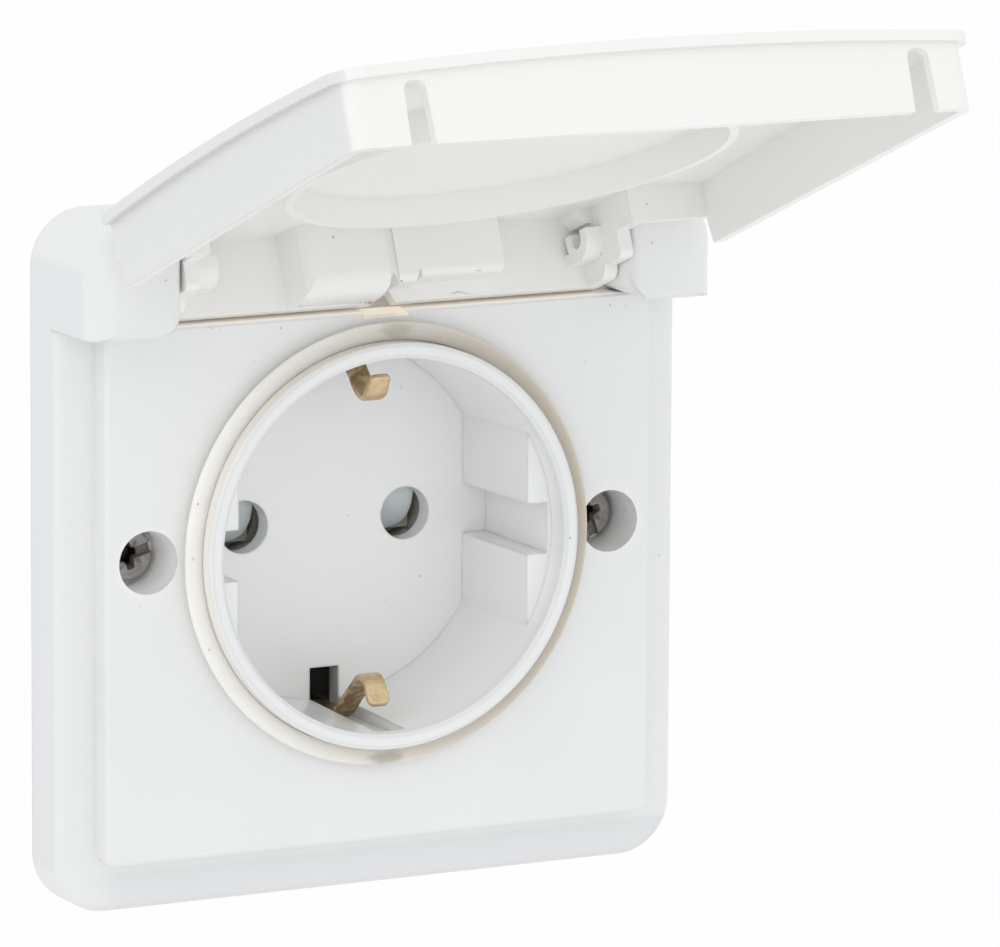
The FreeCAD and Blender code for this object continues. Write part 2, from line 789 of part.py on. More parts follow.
def makeYoke():
    """Steel yoke against the wall, with the box-screw holes and two tabs that hold the insert."""
    yoke = Moulding("support_yoke")
    half, chamfer = s.yokeHalf, s.yokeCornerCut
    sheetOutline = [
        (-half + chamfer, -half),
        (half - chamfer, -half),
        (half, -half + chamfer),
        (half, half - chamfer),
        (half - chamfer, half),
        (-half + chamfer, half),
        (-half, half - chamfer),
        (-half, -half + chamfer),
    ]
    yoke.pad(yoke.outline("front", 0, sheetOutline), s.yokeThickness)
    tabs = []
    for sign in (-1, 1):
        near_, far = s.yokeOpeningRadius - 0.15, s.yokeOpeningRadius - 0.15 + s.yokeTabThickness
        low, high = (near_, far) if sign > 0 else (-far, -near_)
        tabs.append(box(-s.yokeTabHalfWidth, s.yokeTabHalfWidth, low, high))
    yoke.pocket(yoke.circles("front", s.yokeThickness, (0, 0, s.yokeOpeningRadius)), s.yokeThickness)
    yoke.pad(yoke.outline("front", 0, *tabs), s.yokeTabDepth)
    diagonal = s.boxScrewCircle * cosine(size(45))
    holes = [(x * diagonal, z * diagonal, s.boxScrewHoleRadius) for x in (-1, 1) for z in (-1, 1)]
    yoke.pocket(yoke.circles("front", s.yokeThickness, *holes), s.yokeThickness)
    thread = s.coverShankRadius + s.screwFit
    yoke.pocket(yoke.circles("front", s.yokeThickness, (s.wellX, 0, thread), (-s.wellX, 0, thread)), s.yokeThickness)


def makeSeal():
    """Foam seal in the frame's back edge, pressed against the wall."""
    seal = Moulding("wall_seal")
    inset = s.frameSideWall + s.sealClearance
    width, bottom, top = s.frameHalfWidth - inset, frameBottom + inset, frameTop - inset
    corner = s.frameCornerRadius - s.frameSideWall
    outer = roundedBox(-width, width, bottom, top, corner, corner)
    seal.pad(seal.outline("front", 0, outer), s.sealThickness)
    inner = corner - s.sealWidth
    side = width - s.sealWidth
    hole = roundedBox(-side, side, bottom + s.sealWidth, top - s.sealWidth, inner, inner)
    seal.pocket(seal.outline("front", s.sealThickness, hole), s.sealThickness)


def hookPath(sign):
    """Side view of one earth hook: out of its slot, round the bend and back outwards."""
    lean, tip, radius = s.hookLean, s.hookTipAngle, s.hookBendRadius
    inside = radius - s.stripThickness
    bendY, bendZ = -s.hookBendDepth, -s.hookBendZ
    slope = sine(lean) / cosine(lean)
    startY = insertBack + 1
    outerZ = -(s.stripInnerZ + s.stripThickness)
    innerZ = -s.stripInnerZ
    upperY, upperZ = bendY + radius * sine(lean), bendZ + radius * cosine(lean)
    lowerY, lowerZ = bendY + inside * sine(lean), bendZ + inside * cosine(lean)
    upperEnd = (upperY + (upperZ - innerZ) / slope, innerZ)
    lowerEnd = (lowerY + (lowerZ - outerZ) / slope, outerZ)
    frontY, frontZ = -cosine(tip), sine(tip)
    downY, downZ = -sine(tip), -cosine(tip)
    outerTip = (bendY + radius * frontY, bendZ + radius * frontZ)
    innerTip = (bendY + inside * frontY, bendZ + inside * frontZ)
    apexY, apexZ = bendY, bendZ + radius
    innerApexZ = bendZ + inside
    length = s.hookTipLength
    path = [
        (startY, outerZ),
        (startY, innerZ),
        upperEnd,
        (upperY, upperZ),
        (apexY, apexZ, radius, 1),
        (outerTip[0], outerTip[1], radius, 1),
        (outerTip[0] + length * downY, outerTip[1] + length * downZ),
        (innerTip[0] + length * downY, innerTip[1] + length * downZ),
        innerTip,
        (apexY, innerApexZ, inside, -1),
        (lowerY, lowerZ, inside, -1),
        lowerEnd,
    ]
    if sign < 0:
        return path
    # the upper hook is the lower one turned over, so each arc turns the other way
    flipped = []
    for step in path:
        flipped.append((step[0], -step[1]) if len(step) == 2 else (step[0], -step[1], step[2], -step[3]))
    return flipped


def makeEarthBracket():
    """Brass strip with a sprung hook at each end, strapped round the contact base."""
    bracket = Moulding("earth_bracket")
    width = 2 * s.stripHalfWidth
    for sign in (-1, 1):
        bracket.pad(bracket.outline("side", 0, hookPath(sign)), width, symmetric=True)
    inner, outer = s.stripInnerZ, s.stripInnerZ + s.stripThickness
    front = insertBack
    strapInner = baseBack + s.screwFit
    strapOuter = strapInner + s.stripThickness
    strap = [
        (front, -outer),
        (strapOuter, -outer),
        (strapOuter, outer),
        (front, outer),
        (front, inner),
        (strapInner, inner),
        (strapInner, -inner),
        (front, -inner),
    ]
    bracket.pad(bracket.outline("side", 0, strap), width, symmetric=True)
    # a wider eye takes the earth terminal screw
    eye = bracket.circles("front", -strapOuter, (0, 0, s.terminalHeadRadius + 0.9))
    bracket.pad(eye, s.stripThickness)
    hole = bracket.circles("front", -strapInner, (0, 0, s.terminalShankRadius + s.screwHoleGap))
    bracket.pocket(hole, s.stripThickness)


def makeBase():
    """Block behind the insert that holds the contacts, the terminals and the shutter."""
    base = Moulding("contact_base")
    base.pad(base.circles("front", -baseBack, (0, 0, s.baseRadius)), s.baseLength)
    front = -insertBack
    # the earth strip lies in a groove along the top and the bottom
    half = s.stripHalfWidth + s.baseGrooveGap
    floor = s.stripInnerZ - s.baseGrooveGap
    rim = s.baseRadius + 1
    grooves = [box(-half, half, floor, rim), box(-half, half, -rim, -floor)]
    base.pocket(base.outline("front", front, *grooves), s.baseLength)
    pocketDepth = s.shutterThickness + 2 * s.shutterGap
    # the shutter slides in this pocket, with its spring in the narrow part
    left = -(halfPins + s.shutterPadWidth / 2 + s.shutterShift) - s.shutterGap
    right = halfPins + s.shutterPadWidth / 2 - s.shutterShift + s.shutterGap
    top = s.shutterTop + s.shutterTravel + s.shutterGap
    home = box(left, right, -s.shutterPadBottom - s.shutterGap, top)
    base.pocket(base.outline("front", front, home), pocketDepth)
    centre = -s.shutterShift
    springWay = box(centre - s.springChannelHalf, centre + s.springChannelHalf, s.shutterTop, s.springTopZ)
    base.pocket(base.outline("front", front, springWay), pocketDepth)
    # bores for the contacts, then the terminal chambers that open at the back
    chamber = s.contactOuterRadius + s.contactGap
    contactEnd = insertBack + pocketDepth + 0.6 + s.contactLength + s.contactGap
    bores = base.circles("front", front, (halfPins, 0, chamber), (-halfPins, 0, chamber))
    base.pocket(bores, contactEnd - insertBack)
    gap = s.contactGap
    wide = s.terminalWidth / 2 + gap
    low = -(s.terminalZ + s.terminalHeight / 2 + gap)
    high = -(s.terminalZ - s.terminalHeight / 2 - gap)
    depth = s.terminalLength + s.terminalHeadHeight + 1.2
    rooms = [box(x - wide, x + wide, low, high) for x in (-halfPins, halfPins)]
    base.pocket(base.outline("front", -baseBack, *rooms), depth, backwards=True)
    narrow = s.linkHalfWidth + gap
    links = [box(x - narrow, x + narrow, high - 1, size(0)) for x in (-halfPins, halfPins)]
    base.pocket(base.outline("front", -baseBack, *links), depth, backwards=True)
    # screw bosses of the insert, their screws, and the earth screw
    seats = [(x, z, s.baseBossRadius + s.screwHoleGap) for x, z in bossPlaces()]
    base.pocket(base.circles("front", front, *seats), s.baseBossLength + s.screwHoleGap)
    shanks = [(x, z, s.baseScrewShankRadius + s.screwHoleGap) for x, z in bossPlaces()]
    base.pocket(base.circles("front", front, *shanks), s.baseLength)
    heads = [(x, z, s.baseScrewHeadRadius + s.screwHoleGap) for x, z in bossPlaces()]
    base.pocket(base.circles("front", -baseBack, *heads), s.baseScrewHeadHeight + 2, backwards=True)
    earth = base.circles("front", -baseBack, (0, 0, s.terminalShankRadius + s.screwFit))
    base.pocket(earth, s.terminalShankLength + 1, backwards=True)


def makeContact(label, x):
    """Pin receptacle with its split sleeve, link and terminal block."""
    start = insertBack + s.shutterThickness + 2 * s.shutterGap + 0.6
    end = start + s.contactLength
    sleeve = rod(label + "Sleeve", "front", -end, s.contactLength, s.contactOuterRadius, x, 0)
    bore = rod(label + "Bore", "front", -(end + 1), s.contactLength + 2, s.contactInnerRadius, x, 0)
    slitLow = (x - 0.3, start - 1, size(0))
    slit = block(label + "Slit", slitLow, (x + 0.3, end - 2, s.contactOuterRadius + 1))
    blockEnd = baseBack - s.terminalHeadHeight - 0.9
    blockStart = blockEnd - s.terminalLength
    half = s.terminalWidth / 2
    low = -(s.terminalZ + s.terminalHeight / 2)
    high = -(s.terminalZ - s.terminalHeight / 2)
    body = block(label + "Block", (x - half, blockStart, low), (x + half, blockEnd, high))
    linkLow = (x - s.linkHalfWidth, end - s.linkThickness, high - 0.5)
    link = block(label + "Link", linkLow, (x + s.linkHalfWidth, end, -s.contactInnerRadius - 0.1))
    thread = rod(label + "Thread", "front", -(blockEnd + 1), s.terminalShankLength + 2,
                 s.terminalShankRadius + s.screwFit, x, -s.terminalZ)
    solid = cut(label, fuse(label + "Whole", cut(label + "Tube", sleeve, bore, slit), body, link), thread)
    pieces[label] = solid


def makeShutter():
    """Slider that closes both pin holes, with a ramp on each pad that the pins push up."""
    shutter = Moulding("shutter")
    front = insertBack + s.shutterGap
    back = front + s.shutterThickness
    edge = back - s.shutterRampEdge
    bottom = -s.shutterPadBottom
    barBottom = s.shutterTop - s.shutterBarHeight
    for x in (-halfPins - s.shutterShift, halfPins - s.shutterShift):
        pad = [
            (back, bottom),
            (back, s.shutterTop),
            (front, s.shutterTop),
            (front, barBottom - 0.6),
            (edge, bottom),
        ]
        shutter.pad(shutter.outline("side", x - s.shutterPadWidth / 2, pad), s.shutterPadWidth)
    left = -halfPins - s.shutterShift
    right = halfPins - s.shutterShift
    shutter.pad(shutter.outline("front", -back, box(left, right, barBottom, s.shutterTop)), s.shutterThickness)


def makeSpring():
    """Compression spring above the shutter."""
    radius, wire = s.springCoilRadius, s.springWireRadius
    low = s.shutterTop + wire + 0.05
    high = s.springTopZ - wire - 0.05
    helix = doc.addObject("Part::Helix", "SpringHelix")
    drive(helix, "Radius", radius)
    drive(helix, "Height", high - low)
    drive(helix, "Pitch", (high - low) / s.springTurns)
    middle = insertBack + s.shutterGap + s.shutterThickness / 2
    for axis, place in zip("xyz", (-s.shutterShift, middle, low)):
        drive(helix, ".Placement.Base.%s" % axis, place)
    section = doc.addObject("Part::RegularPolygon", "SpringSection")
    section.Polygon = 5
    drive(section, "Circumradius", wire)
    section.Placement = FreeCAD.Placement(FreeCAD.Vector(), FreeCAD.Rotation(FreeCAD.Vector(1, 0, 0), 90))
    for axis, place in zip("xyz", (radius - s.shutterShift, middle, low)):
        drive(section, ".Placement.Base.%s" % axis, place)
    spring = doc.addObject("Part::Sweep", "shutter_spring")
    spring.Sections = [section]
    spring.Spine = (helix, ["Edge1"])
    spring.Solid = True
    spring.Frenet = True
    pieces["shutter_spring"] = spring


def makeScrew(label, x, z, under, sizes, turn=None):
    """A screw with a flat head whose underside lies at the given Y and whose shank runs inwards."""
    headRadius, headHeight, shankRadius, shankLength, inwards = sizes
    outer = under - headHeight * inwards
    end = under + shankLength * inwards
    screw = Moulding(label)
    rim = [(headRadius * 0.9, outer), (headRadius, outer + 0.3 * headHeight * inwards)]
    head = rim if turn else [(headRadius, outer)]
    profile = [(0, outer), *head, (headRadius, under), (shankRadius, under), (shankRadius, end), (0, end)]
    screw.turn(screw.outline("level", 0, profile), "Y_Axis")
    half, wide = s.slotWidth / 2, headRadius + 1
    slot = screw.outline("front", -outer, box(-wide, wide, -half, half))
    screw.pocket(slot, s.slotDepth, backwards=inwards < 0)
    if turn:
        cross = s.crossLength / 2
        across = screw.outline("front", -outer, box(-half, half, -cross, cross))
        screw.pocket(across, s.slotDepth * 1.5, backwards=inwards < 0)
        drive(screw.body, ".Placement.Rotation.Angle", turn)
        screw.body.Placement = FreeCAD.Placement(
            FreeCAD.Vector(), FreeCAD.Rotation(FreeCAD.Vector(0, -1, 0), turn.value)
        )
    drive(screw.body, ".Placement.Base.x", x)
    drive(screw.body, ".Placement.Base.z", z)


def makeScrews():
    cover = (s.coverHeadRadius, s.coverHeadHeight, s.coverShankRadius, s.coverShankLength, 1)
    under = -s.wellFloorDepth
    makeScrew("cover_screw_left", -s.wellX, size(0), under, cover, s.leftScrewTurn)
    makeScrew("cover_screw_right", s.wellX, size(0), under, cover, s.rightScrewTurn)
    terminal = (s.terminalHeadRadius, s.terminalHeadHeight, s.terminalShankRadius, s.terminalShankLength, -1)
    seat = baseBack - s.terminalHeadHeight - 0.9
    makeScrew("neutral_terminal_screw", -halfPins, -s.terminalZ, seat, terminal)
    makeScrew("live_terminal_screw", halfPins, -s.terminalZ, seat, terminal)
    strapBack = baseBack + s.screwFit + s.stripThickness
    makeScrew("earth_terminal_screw", size(0), size(0), strapBack, terminal)


def makeBaseScrews():
    """Two long screws that hold the contact base to the insert."""
    screws = []
    for n, (x, z) in enumerate(bossPlaces()):
        under = baseBack - s.baseScrewHeadHeight - 2
        shank = rod("BaseShank%d" % n, "front", -under, under - insertBack - 0.4, s.baseScrewShankRadius, x, z)
        head = rod("BaseHead%d" % n, "front", -(under + s.baseScrewHeadHeight), s.baseScrewHeadHeight,
                   s.baseScrewHeadRadius, x, z)
        half = s.slotWidth / 2
        top = under + s.baseScrewHeadHeight
        slotLow = (x - s.baseScrewHeadRadius - 1, top - s.slotDepth, z - half)
        slot = block("BaseSlot%d" % n, slotLow, (x + s.baseScrewHeadRadius + 1, top + 1, z + half))
        screws.append(cut("BaseScrew%d" % n, fuse("BaseScrewBlank%d" % n, shank, head), slot))
    compound = doc.addObject("Part::Compound", "base_screws")
    compound.Links = screws
    pieces["base_screws"] = compound


def makePins():
    """Two short pins, held in the ears, on which the lid's arms turn."""
    start = armInner + s.hingePinInset
    for label, place in (("hinge_pin_left", -start - s.hingePinLength), ("hinge_pin_right", start)):
        pieces[label] = rod(label, "side", place, s.hingePinLength, s.hingePinRadius, -s.hingeDepth, s.hingeZ)


def lidZ(reach):
    """Height of a point that lies this far below the hinge axis when the lid is closed."""
    return s.hingeZ - reach


def lidY(rise):
    """Y of a point that stands this far in front of the hinge axis when the lid is closed."""
    return -(s.hingeDepth + rise)


def crownBall(name, inset):
    """The lid's outer face is part of a large sphere, and its inner faces are smaller ones."""
    ball = doc.addObject("Part::Sphere", name)
    drive(ball, "Radius", s.lidCrownRadius - inset)
    drive(ball, ".Placement.Base.y", lidY(s.lidCrown) + s.lidCrownRadius)
    drive(ball, ".Placement.Base.z", lidZ(s.lidCrownReach))
    return ball


def makeLid():
    """Hinged lid: domed shell with a lip, skirts, arms, sealing ring and hinge details."""
    half, seat = s.lidHalfWidth, s.frameDepth + s.lidSeatGap
    top, bottom = lidZ(-s.lidTopReach), lidZ(s.lidReach)
    tall = s.hingeDepth + s.lidCrown + 1 - seat
    corner, sharp = s.lidCornerRadius, size(0.4)
    shellBlock = prism("LidBlock", "front", seat, tall, roundedBox(-half, half, bottom, top, corner, sharp))
    outer = common("LidOuter", shellBlock, crownBall("CrownOuter", size(0)))
    inside = half - s.lidWall
    innerCorner = corner - s.lidWall
    hollowBox = roundedBox(-inside, inside, bottom + s.lidWall, top - s.lidTopWall, innerCorner, sharp)
    hollow = common("LidHollow", prism("LidHollowBlock", "front", seat - 1, tall, hollowBox),
                    crownBall("CrownInner", s.lidShell))
    lipHalf, lipBottom = half + s.lipOverhang, bottom - s.lipOverhang
    lipCorner = corner + s.lipOverhang
    lipOutline = roundedBox(-lipHalf, lipHalf, lipBottom, top, lipCorner, sharp)
    lip = cut("Lip", common("LipSlab", prism("LipBlock", "front", seat, tall, lipOutline),
                            crownBall("CrownLip", size(0))), crownBall("CrownUnder", s.lipThickness))
    shell = fuse("LidShell", cut("LidSkirts", outer, hollow), lip)
    # the corners at the hinge are open for the ears
    front = lidY(s.lidCrown) - 1
    notches = []
    for side, low, high in (("Left", -lipHalf - 1, -armOuter), ("Right", armOuter, lipHalf + 1)):
        notchLow = (low, front, lidZ(s.notchReach))
        notches.append(block("EarNotch" + side, notchLow, (high, -seat + 1, top + 1)))
    # the side skirts slope away from the ears
    slant = [
        (-seat + 1, lidZ(s.notchReach) + 1),
        (lidY(s.drainRise), lidZ(s.notchReach) + 1),
        (lidY(s.drainRise), lidZ(s.notchReach)),
        (-seat + 1, lidZ(s.notchReach + s.skirtEndSlant)),
    ]
    slope = prism("SkirtSlope", "side", -lipHalf - 1, 2 * (lipHalf + 1), slant)
    # the edge above the hinge is round, so that it passes the frame's top wall
    edge = s.hingeEdgeRound
    edgeRise = s.lidCrown - (s.lidCrownReach + s.lidTopReach) * (s.lidCrownReach + s.lidTopReach) / s.lidCrownRadius / 2
    edgeWaste = [
        (lidY(edgeRise - edge), top),
        (lidY(edgeRise), top - edge, edge, 1),
        (front, top - edge),
        (front, top + 1),
        (lidY(edgeRise - edge), top + 1),
    ]
    edgeCut = prism("HingeEdgeWaste", "side", -lipHalf - 1, 2 * (lipHalf + 1), edgeWaste)
    shellCut = cut("LidNotched", shell, slope, edgeCut, *notches)
    into = s.lidCrown - s.lidShell - 1.2
    parts = [shellCut]
    hingeWallLow = (-armOuter, lidY(into), top - s.lidTopWall)
    parts.append(block("HingeWall", hingeWallLow, (armOuter, lidY(-s.hingeWallDrop), top)))
    wallLow = lidZ(s.notchReach + s.notchWall)
    for side, low, high in (("Left", -half, -armInner), ("Right", armInner, half)):
        notchWallLow = (low, lidY(into), wallLow)
        parts.append(block("NotchWall" + side, notchWallLow, (high, lidY(-s.notchWallDrop), lidZ(s.notchReach))))
    # the arms that turn on the pins, each with a foot towards the channel floor
    arm = [
        (lidY(into), top - s.lidTopWall / 2),
        (lidY(-s.hingeWallDrop), top - s.lidTopWall / 2),
        (lidY(-s.hingeWallDrop), lidZ(0)),
        (lidY(-s.hingeWallDrop + s.armFootReach), lidZ(s.armFootReach), s.armFootReach, -1),
        (lidY(-s.armDrop), lidZ(s.armFootReach)),
        (lidY(-s.armDrop), lidZ(s.armReach - s.armRound)),
        (lidY(-s.armDrop + s.armRound), lidZ(s.armReach), s.armRound, -1),
        (lidY(-s.notchWallDrop), lidZ(s.armReach)),
        (lidY(-s.notchWallDrop), lidZ(s.notchReach + s.notchWall)),
        (lidY(into), lidZ(s.notchReach + s.notchWall)),
    ]
    for side, place in (("Left", -armOuter), ("Right", armInner)):
        parts.append(prism("Arm" + side, "side", place, s.armWall, arm))
    ringTop, ringEdge = s.hingeDepth + s.lidCrown - s.lidShell - 0.1, s.gasketDepth + s.ringGap
    ringBody = rod("RingOuter", "front", ringEdge, ringTop - ringEdge, s.ringInnerRadius + s.ringWall)
    ringBore = rod("RingBore", "front", ringEdge - 1, ringTop - ringEdge + 2, s.ringInnerRadius)
    parts.append(cut("SealRing", ringBody, ringBore))
    parts.extend(clipSolids(into))
    parts.extend(hingeBlocks(into))
    tools = [
        rod("ArmBore" + side, "side", place, s.armWall + 0.4, s.hingePinRadius + s.hingePinFit, -s.hingeDepth, s.hingeZ)
        for side, place in (("Left", -armOuter - 0.2), ("Right", armInner - 0.2))
    ]
    tools.extend(lidCutOuts(bottom, top))
    lid = cut("lid", fuse("LidWhole", *parts), *tools)
    lid.setExpression(
        "Placement",
        "create(<<placement>>; create(<<vector>>; 0; 0; 0);"
        " create(<<rotation>>; create(<<vector>>; -1; 0; 0); Sizes.lidOpenAngle);"
        " create(<<vector>>; 0; -Sizes.hingeDepth; Sizes.hingeZ))",
    )
    pieces["lid"] = lid


def clipSolids(into):
    """Half-round saddles beside the arms, each with a tab above it."""
    outer, inner = s.clipOuterRadius, s.hingePinRadius + s.hingePinFit
    axisY, axisZ = -s.hingeDepth, s.hingeZ
    rim = axisY - s.clipRise
    saddle = [
        (rim, axisZ - outer),
        (axisY, axisZ - outer),
        (axisY + outer, axisZ, outer, 1),
        (axisY, axisZ + outer, outer, 1),
        (rim, axisZ + outer),
        (rim, axisZ + inner),
        (axisY, axisZ + inner),
        (axisY + inner, axisZ, inner, -1),
        (axisY, axisZ - inner, inner, -1),
        (rim, axisZ - inner),
    ]
    wallInner = lidZ(-s.lidTopReach) - s.lidTopWall
    solids = []
    for side, length in (("Left", s.leftClipLength), ("Right", s.rightClipLength)):
        left = side == "Left"
        place = -armInner if left else armInner - length
        solids.append(prism("Clip" + side, "side", place, length, saddle))
        web = (place, axisY + inner, axisZ + inner)
        solids.append(block("ClipWeb" + side, web, (place + length, axisY + outer, wallInner + 0.2)))
        slant = s.tabSlant
        tab = [
            (armInner, lidY(into)),
            (armInner, lidY(s.tabRise)),
            (armInner - s.tabWidth + slant, lidY(s.tabRise)),
            (armInner - s.tabWidth, lidY(s.tabRise + slant)),
            (armInner - s.tabWidth, lidY(into)),
        ]
        tabShape = [(-x, y) for x, y in tab] if left else tab
        low = lidZ(s.tabReach)
        solids.append(prism("Tab" + side, "level", low, wallInner + 0.2 - low, tabShape))
    return solids


def hingeBlocks(into):
    """The rounded hood left of the split, and the block with its nose on the right."""
    wall = lidZ(-s.lidTopReach) - s.lidTopWall + 0.2
    rounding = s.hoodRound
    hood = [
        (lidY(into), wall),
        (lidY(-s.hoodDrop), wall),
        (lidY(-s.hoodDrop), lidZ(s.hoodReach - rounding)),
        (lidY(-s.hoodDrop + rounding), lidZ(s.hoodReach), rounding, -1),
        (lidY(into), lidZ(s.hoodReach)),
    ]
    # the hood narrows towards its face
    face, soft = lidZ(s.hoodReach), s.hoodSoftEdge
    plan = [
        (-s.hoodLeftX, wall),
        (-s.hoodLeftX + s.hoodSlant * 0.8, face + soft),
        (-s.hoodLeftX + s.hoodSlant + soft * 0.4, face + soft * 0.25),
        (-s.hoodLeftX + s.hoodSlant + soft, face),
        (-s.hoodRightX, face),
        (-s.hoodRightX, wall),
    ]
    hoodPlan = prism("HoodPlan", "front", s.hingeDepth - s.hoodDrop - 1, s.hoodDrop + into + 1, plan)
    small = s.blockRound

    def step(drop, reach):
        return [
            (lidY(into), wall),
            (lidY(-drop), wall),
            (lidY(-drop), lidZ(reach - small)),
            (lidY(-drop + small), lidZ(reach), small, -1),
            (lidY(into), lidZ(reach)),
        ]

    blockLength = s.blockRightX - s.blockNotchX
    lowLength = s.blockNotchX - s.blockLeftX + 0.2
    noseLength = s.blockLeftX + s.hoodRightX + 0.2
    return [
        common("Hood", prism("HoodRound", "side", -s.hoodLeftX, s.hoodLeftX - s.hoodRightX, hood), hoodPlan),
        prism("Block", "side", s.blockNotchX, blockLength, step(s.blockDrop, s.blockReach)),
        prism("BlockLow", "side", s.blockLeftX, lowLength, step(s.blockDrop + s.blockStep, s.blockReach)),
        prism("Nose", "side", -s.hoodRightX, noseLength, step(s.noseDrop, s.noseReach)),
    ]


def lidCutOuts(bottom, top):
    """Drain notches in the front skirt, the split in the hinge wall and the block's notch."""
    tools = []
    rounding = s.drainWidth / 2 - 0.2
    high = s.hingeDepth + s.drainRise
    for side, centre in (("Left", -s.drainLeftX), ("Right", s.drainRightX)):
        left, right = centre - s.drainWidth / 2, centre + s.drainWidth / 2
        drain = [
            (left - 0.2, -s.frameDepth + 1),
            (left, -high + rounding),
            (left + rounding, -high, rounding, 1),
            (right - rounding, -high),
            (right, -high + rounding, rounding, 1),
            (right + 0.2, -s.frameDepth + 1),
        ]
        tools.append(prism("Drain" + side, "level", bottom - 1, s.lidWall + 1.4, drain))
    apex = lidY(-s.hingeWallDrop + s.splitHeight)
    split = [
        (-s.splitLeftX, lidY(-s.hingeWallDrop) + 0.5),
        (-s.splitLeftX, lidY(-s.hingeWallDrop)),
        (s.splitApexX - 0.1, apex),
        (s.splitApexX + 0.1, apex),
        (s.splitRightX, lidY(-s.hingeWallDrop)),
        (s.splitRightX, lidY(-s.hingeWallDrop) + 0.5),
    ]
    splitLow = lidZ(s.hoodReach) - 0.5
    tools.append(prism("Split", "level", splitLow, top + 1 - splitLow, split))
    underBlock = lidY(-s.blockDrop - s.blockStep) + 0.5
    notch = [
        (s.blockNotchX - s.blockNotchHalf, underBlock),
        (s.blockNotchX - 0.1, lidY(-s.blockDrop + s.blockNotchRise)),
        (s.blockNotchX + 0.1, lidY(-s.blockDrop + s.blockNotchRise)),
        (s.blockNotchX + s.blockNotchHalf, underBlock),
    ]
    notchLength = top - s.lidTopWall - 0.1 - splitLow
    tools.append(prism("BlockNotch", "level", splitLow, notchLength, notch))
    return tools


makeFrame()
makePlate()
makeInsert()
makeGasket()
makeYoke()
makeSeal()
makeEarthBracket()
makeBase()
makeContact("neutral_contact", -halfPins)
makeContact("live_contact", halfPins)
makeShutter()
makeSpring()
makeScrews()
makeBaseScrews()
makePins()
makeLid()
doc.recompute()

for thing in doc.Objects:
    if "Invalid" in thing.State or "Error" in thing.State:
        raise RuntimeError("%s could not be built: %s" % (thing.Name, thing.State))

os.makedirs("parts", exist_ok=True)
triangles = 0
for label, thing in pieces.items():
    shape = thing.Shape
    if shape.isNull() or not shape.isValid() or not shape.Solids:
        raise RuntimeError("%s has no valid solid" % label)
    thing.Label = label
    shape.exportStep("parts/%s.step" % label)
    facets = len(shape.tessellate(0.1)[1])
    triangles += facets
    extent = shape.BoundBox
    print("%-24s solids %d  volume %9.1f  facets %5d  X %.1f..%.1f Y %.1f..%.1f Z %.1f..%.1f" % (
        label, len(shape.Solids), shape.Volume, facets,
        extent.XMin, extent.XMax, extent.YMin, extent.YMax, extent.ZMin, extent.ZMax))
print("pieces %d, facets %d" % (len(pieces), triangles))
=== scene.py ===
import math

import bmesh
import bpy
import numpy as np
from mathutils import Matrix, Vector


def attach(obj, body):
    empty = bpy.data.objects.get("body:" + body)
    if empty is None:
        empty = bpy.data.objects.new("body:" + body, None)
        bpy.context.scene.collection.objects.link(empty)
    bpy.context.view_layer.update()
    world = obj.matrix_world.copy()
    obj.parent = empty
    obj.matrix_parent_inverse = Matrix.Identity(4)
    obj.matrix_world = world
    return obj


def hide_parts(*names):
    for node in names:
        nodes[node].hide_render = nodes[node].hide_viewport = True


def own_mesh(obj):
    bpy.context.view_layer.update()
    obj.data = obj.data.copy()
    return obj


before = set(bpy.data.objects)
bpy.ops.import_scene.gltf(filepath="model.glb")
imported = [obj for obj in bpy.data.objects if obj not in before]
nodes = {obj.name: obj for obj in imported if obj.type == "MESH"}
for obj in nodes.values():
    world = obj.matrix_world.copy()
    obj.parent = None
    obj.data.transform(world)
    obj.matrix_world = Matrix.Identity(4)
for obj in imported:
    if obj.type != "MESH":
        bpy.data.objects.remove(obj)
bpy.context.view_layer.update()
mm = 0.001
print("frame loaded:", len(nodes), "nodes")

# the view, worked out from the plug recess, the plate and the lid in the photograph: degrees, mm and pixels
viewOf = {"yaw": 27.71, "rise": 10.10, "roll": 0.37, "distance": 892.2, "aim": (15.87, -8.0, 10.30),
          "focal": 8509.9, "centreX": 515.32, "centreY": 431.98, "width": 1000, "height": 947}


def makeCamera():
    yaw, rise, roll = (math.radians(viewOf[k]) for k in ("yaw", "rise", "roll"))
    back = Vector((-math.sin(yaw) * math.cos(rise), -math.cos(yaw) * math.cos(rise), math.sin(rise)))
    level = (-back).cross(Vector((0, 0, 1))).normalized()
    upright = level.cross(-back)
    right = level * math.cos(roll) + upright * math.sin(roll)
    up = upright * math.cos(roll) - level * math.sin(roll)
    place = (Vector(viewOf["aim"]) + back * viewOf["distance"]) * mm
    camera = bpy.data.objects.new("camera", bpy.data.cameras.new("camera"))
    bpy.context.scene.collection.objects.link(camera)
    camera.matrix_world = Matrix.Translation(place) @ Matrix((right, up, back)).transposed().to_4x4()
    camera.data.sensor_width = 36
    camera.data.lens = viewOf["focal"] * 36 / viewOf["width"]
    camera.data.shift_x = (viewOf["width"] / 2 - viewOf["centreX"]) / viewOf["width"]
    camera.data.shift_y = (viewOf["centreY"] - viewOf["height"] / 2) / viewOf["width"]
    camera.data.clip_start, camera.data.clip_end = 0.05, 20
    bpy.context.scene.camera = camera


makeCamera()


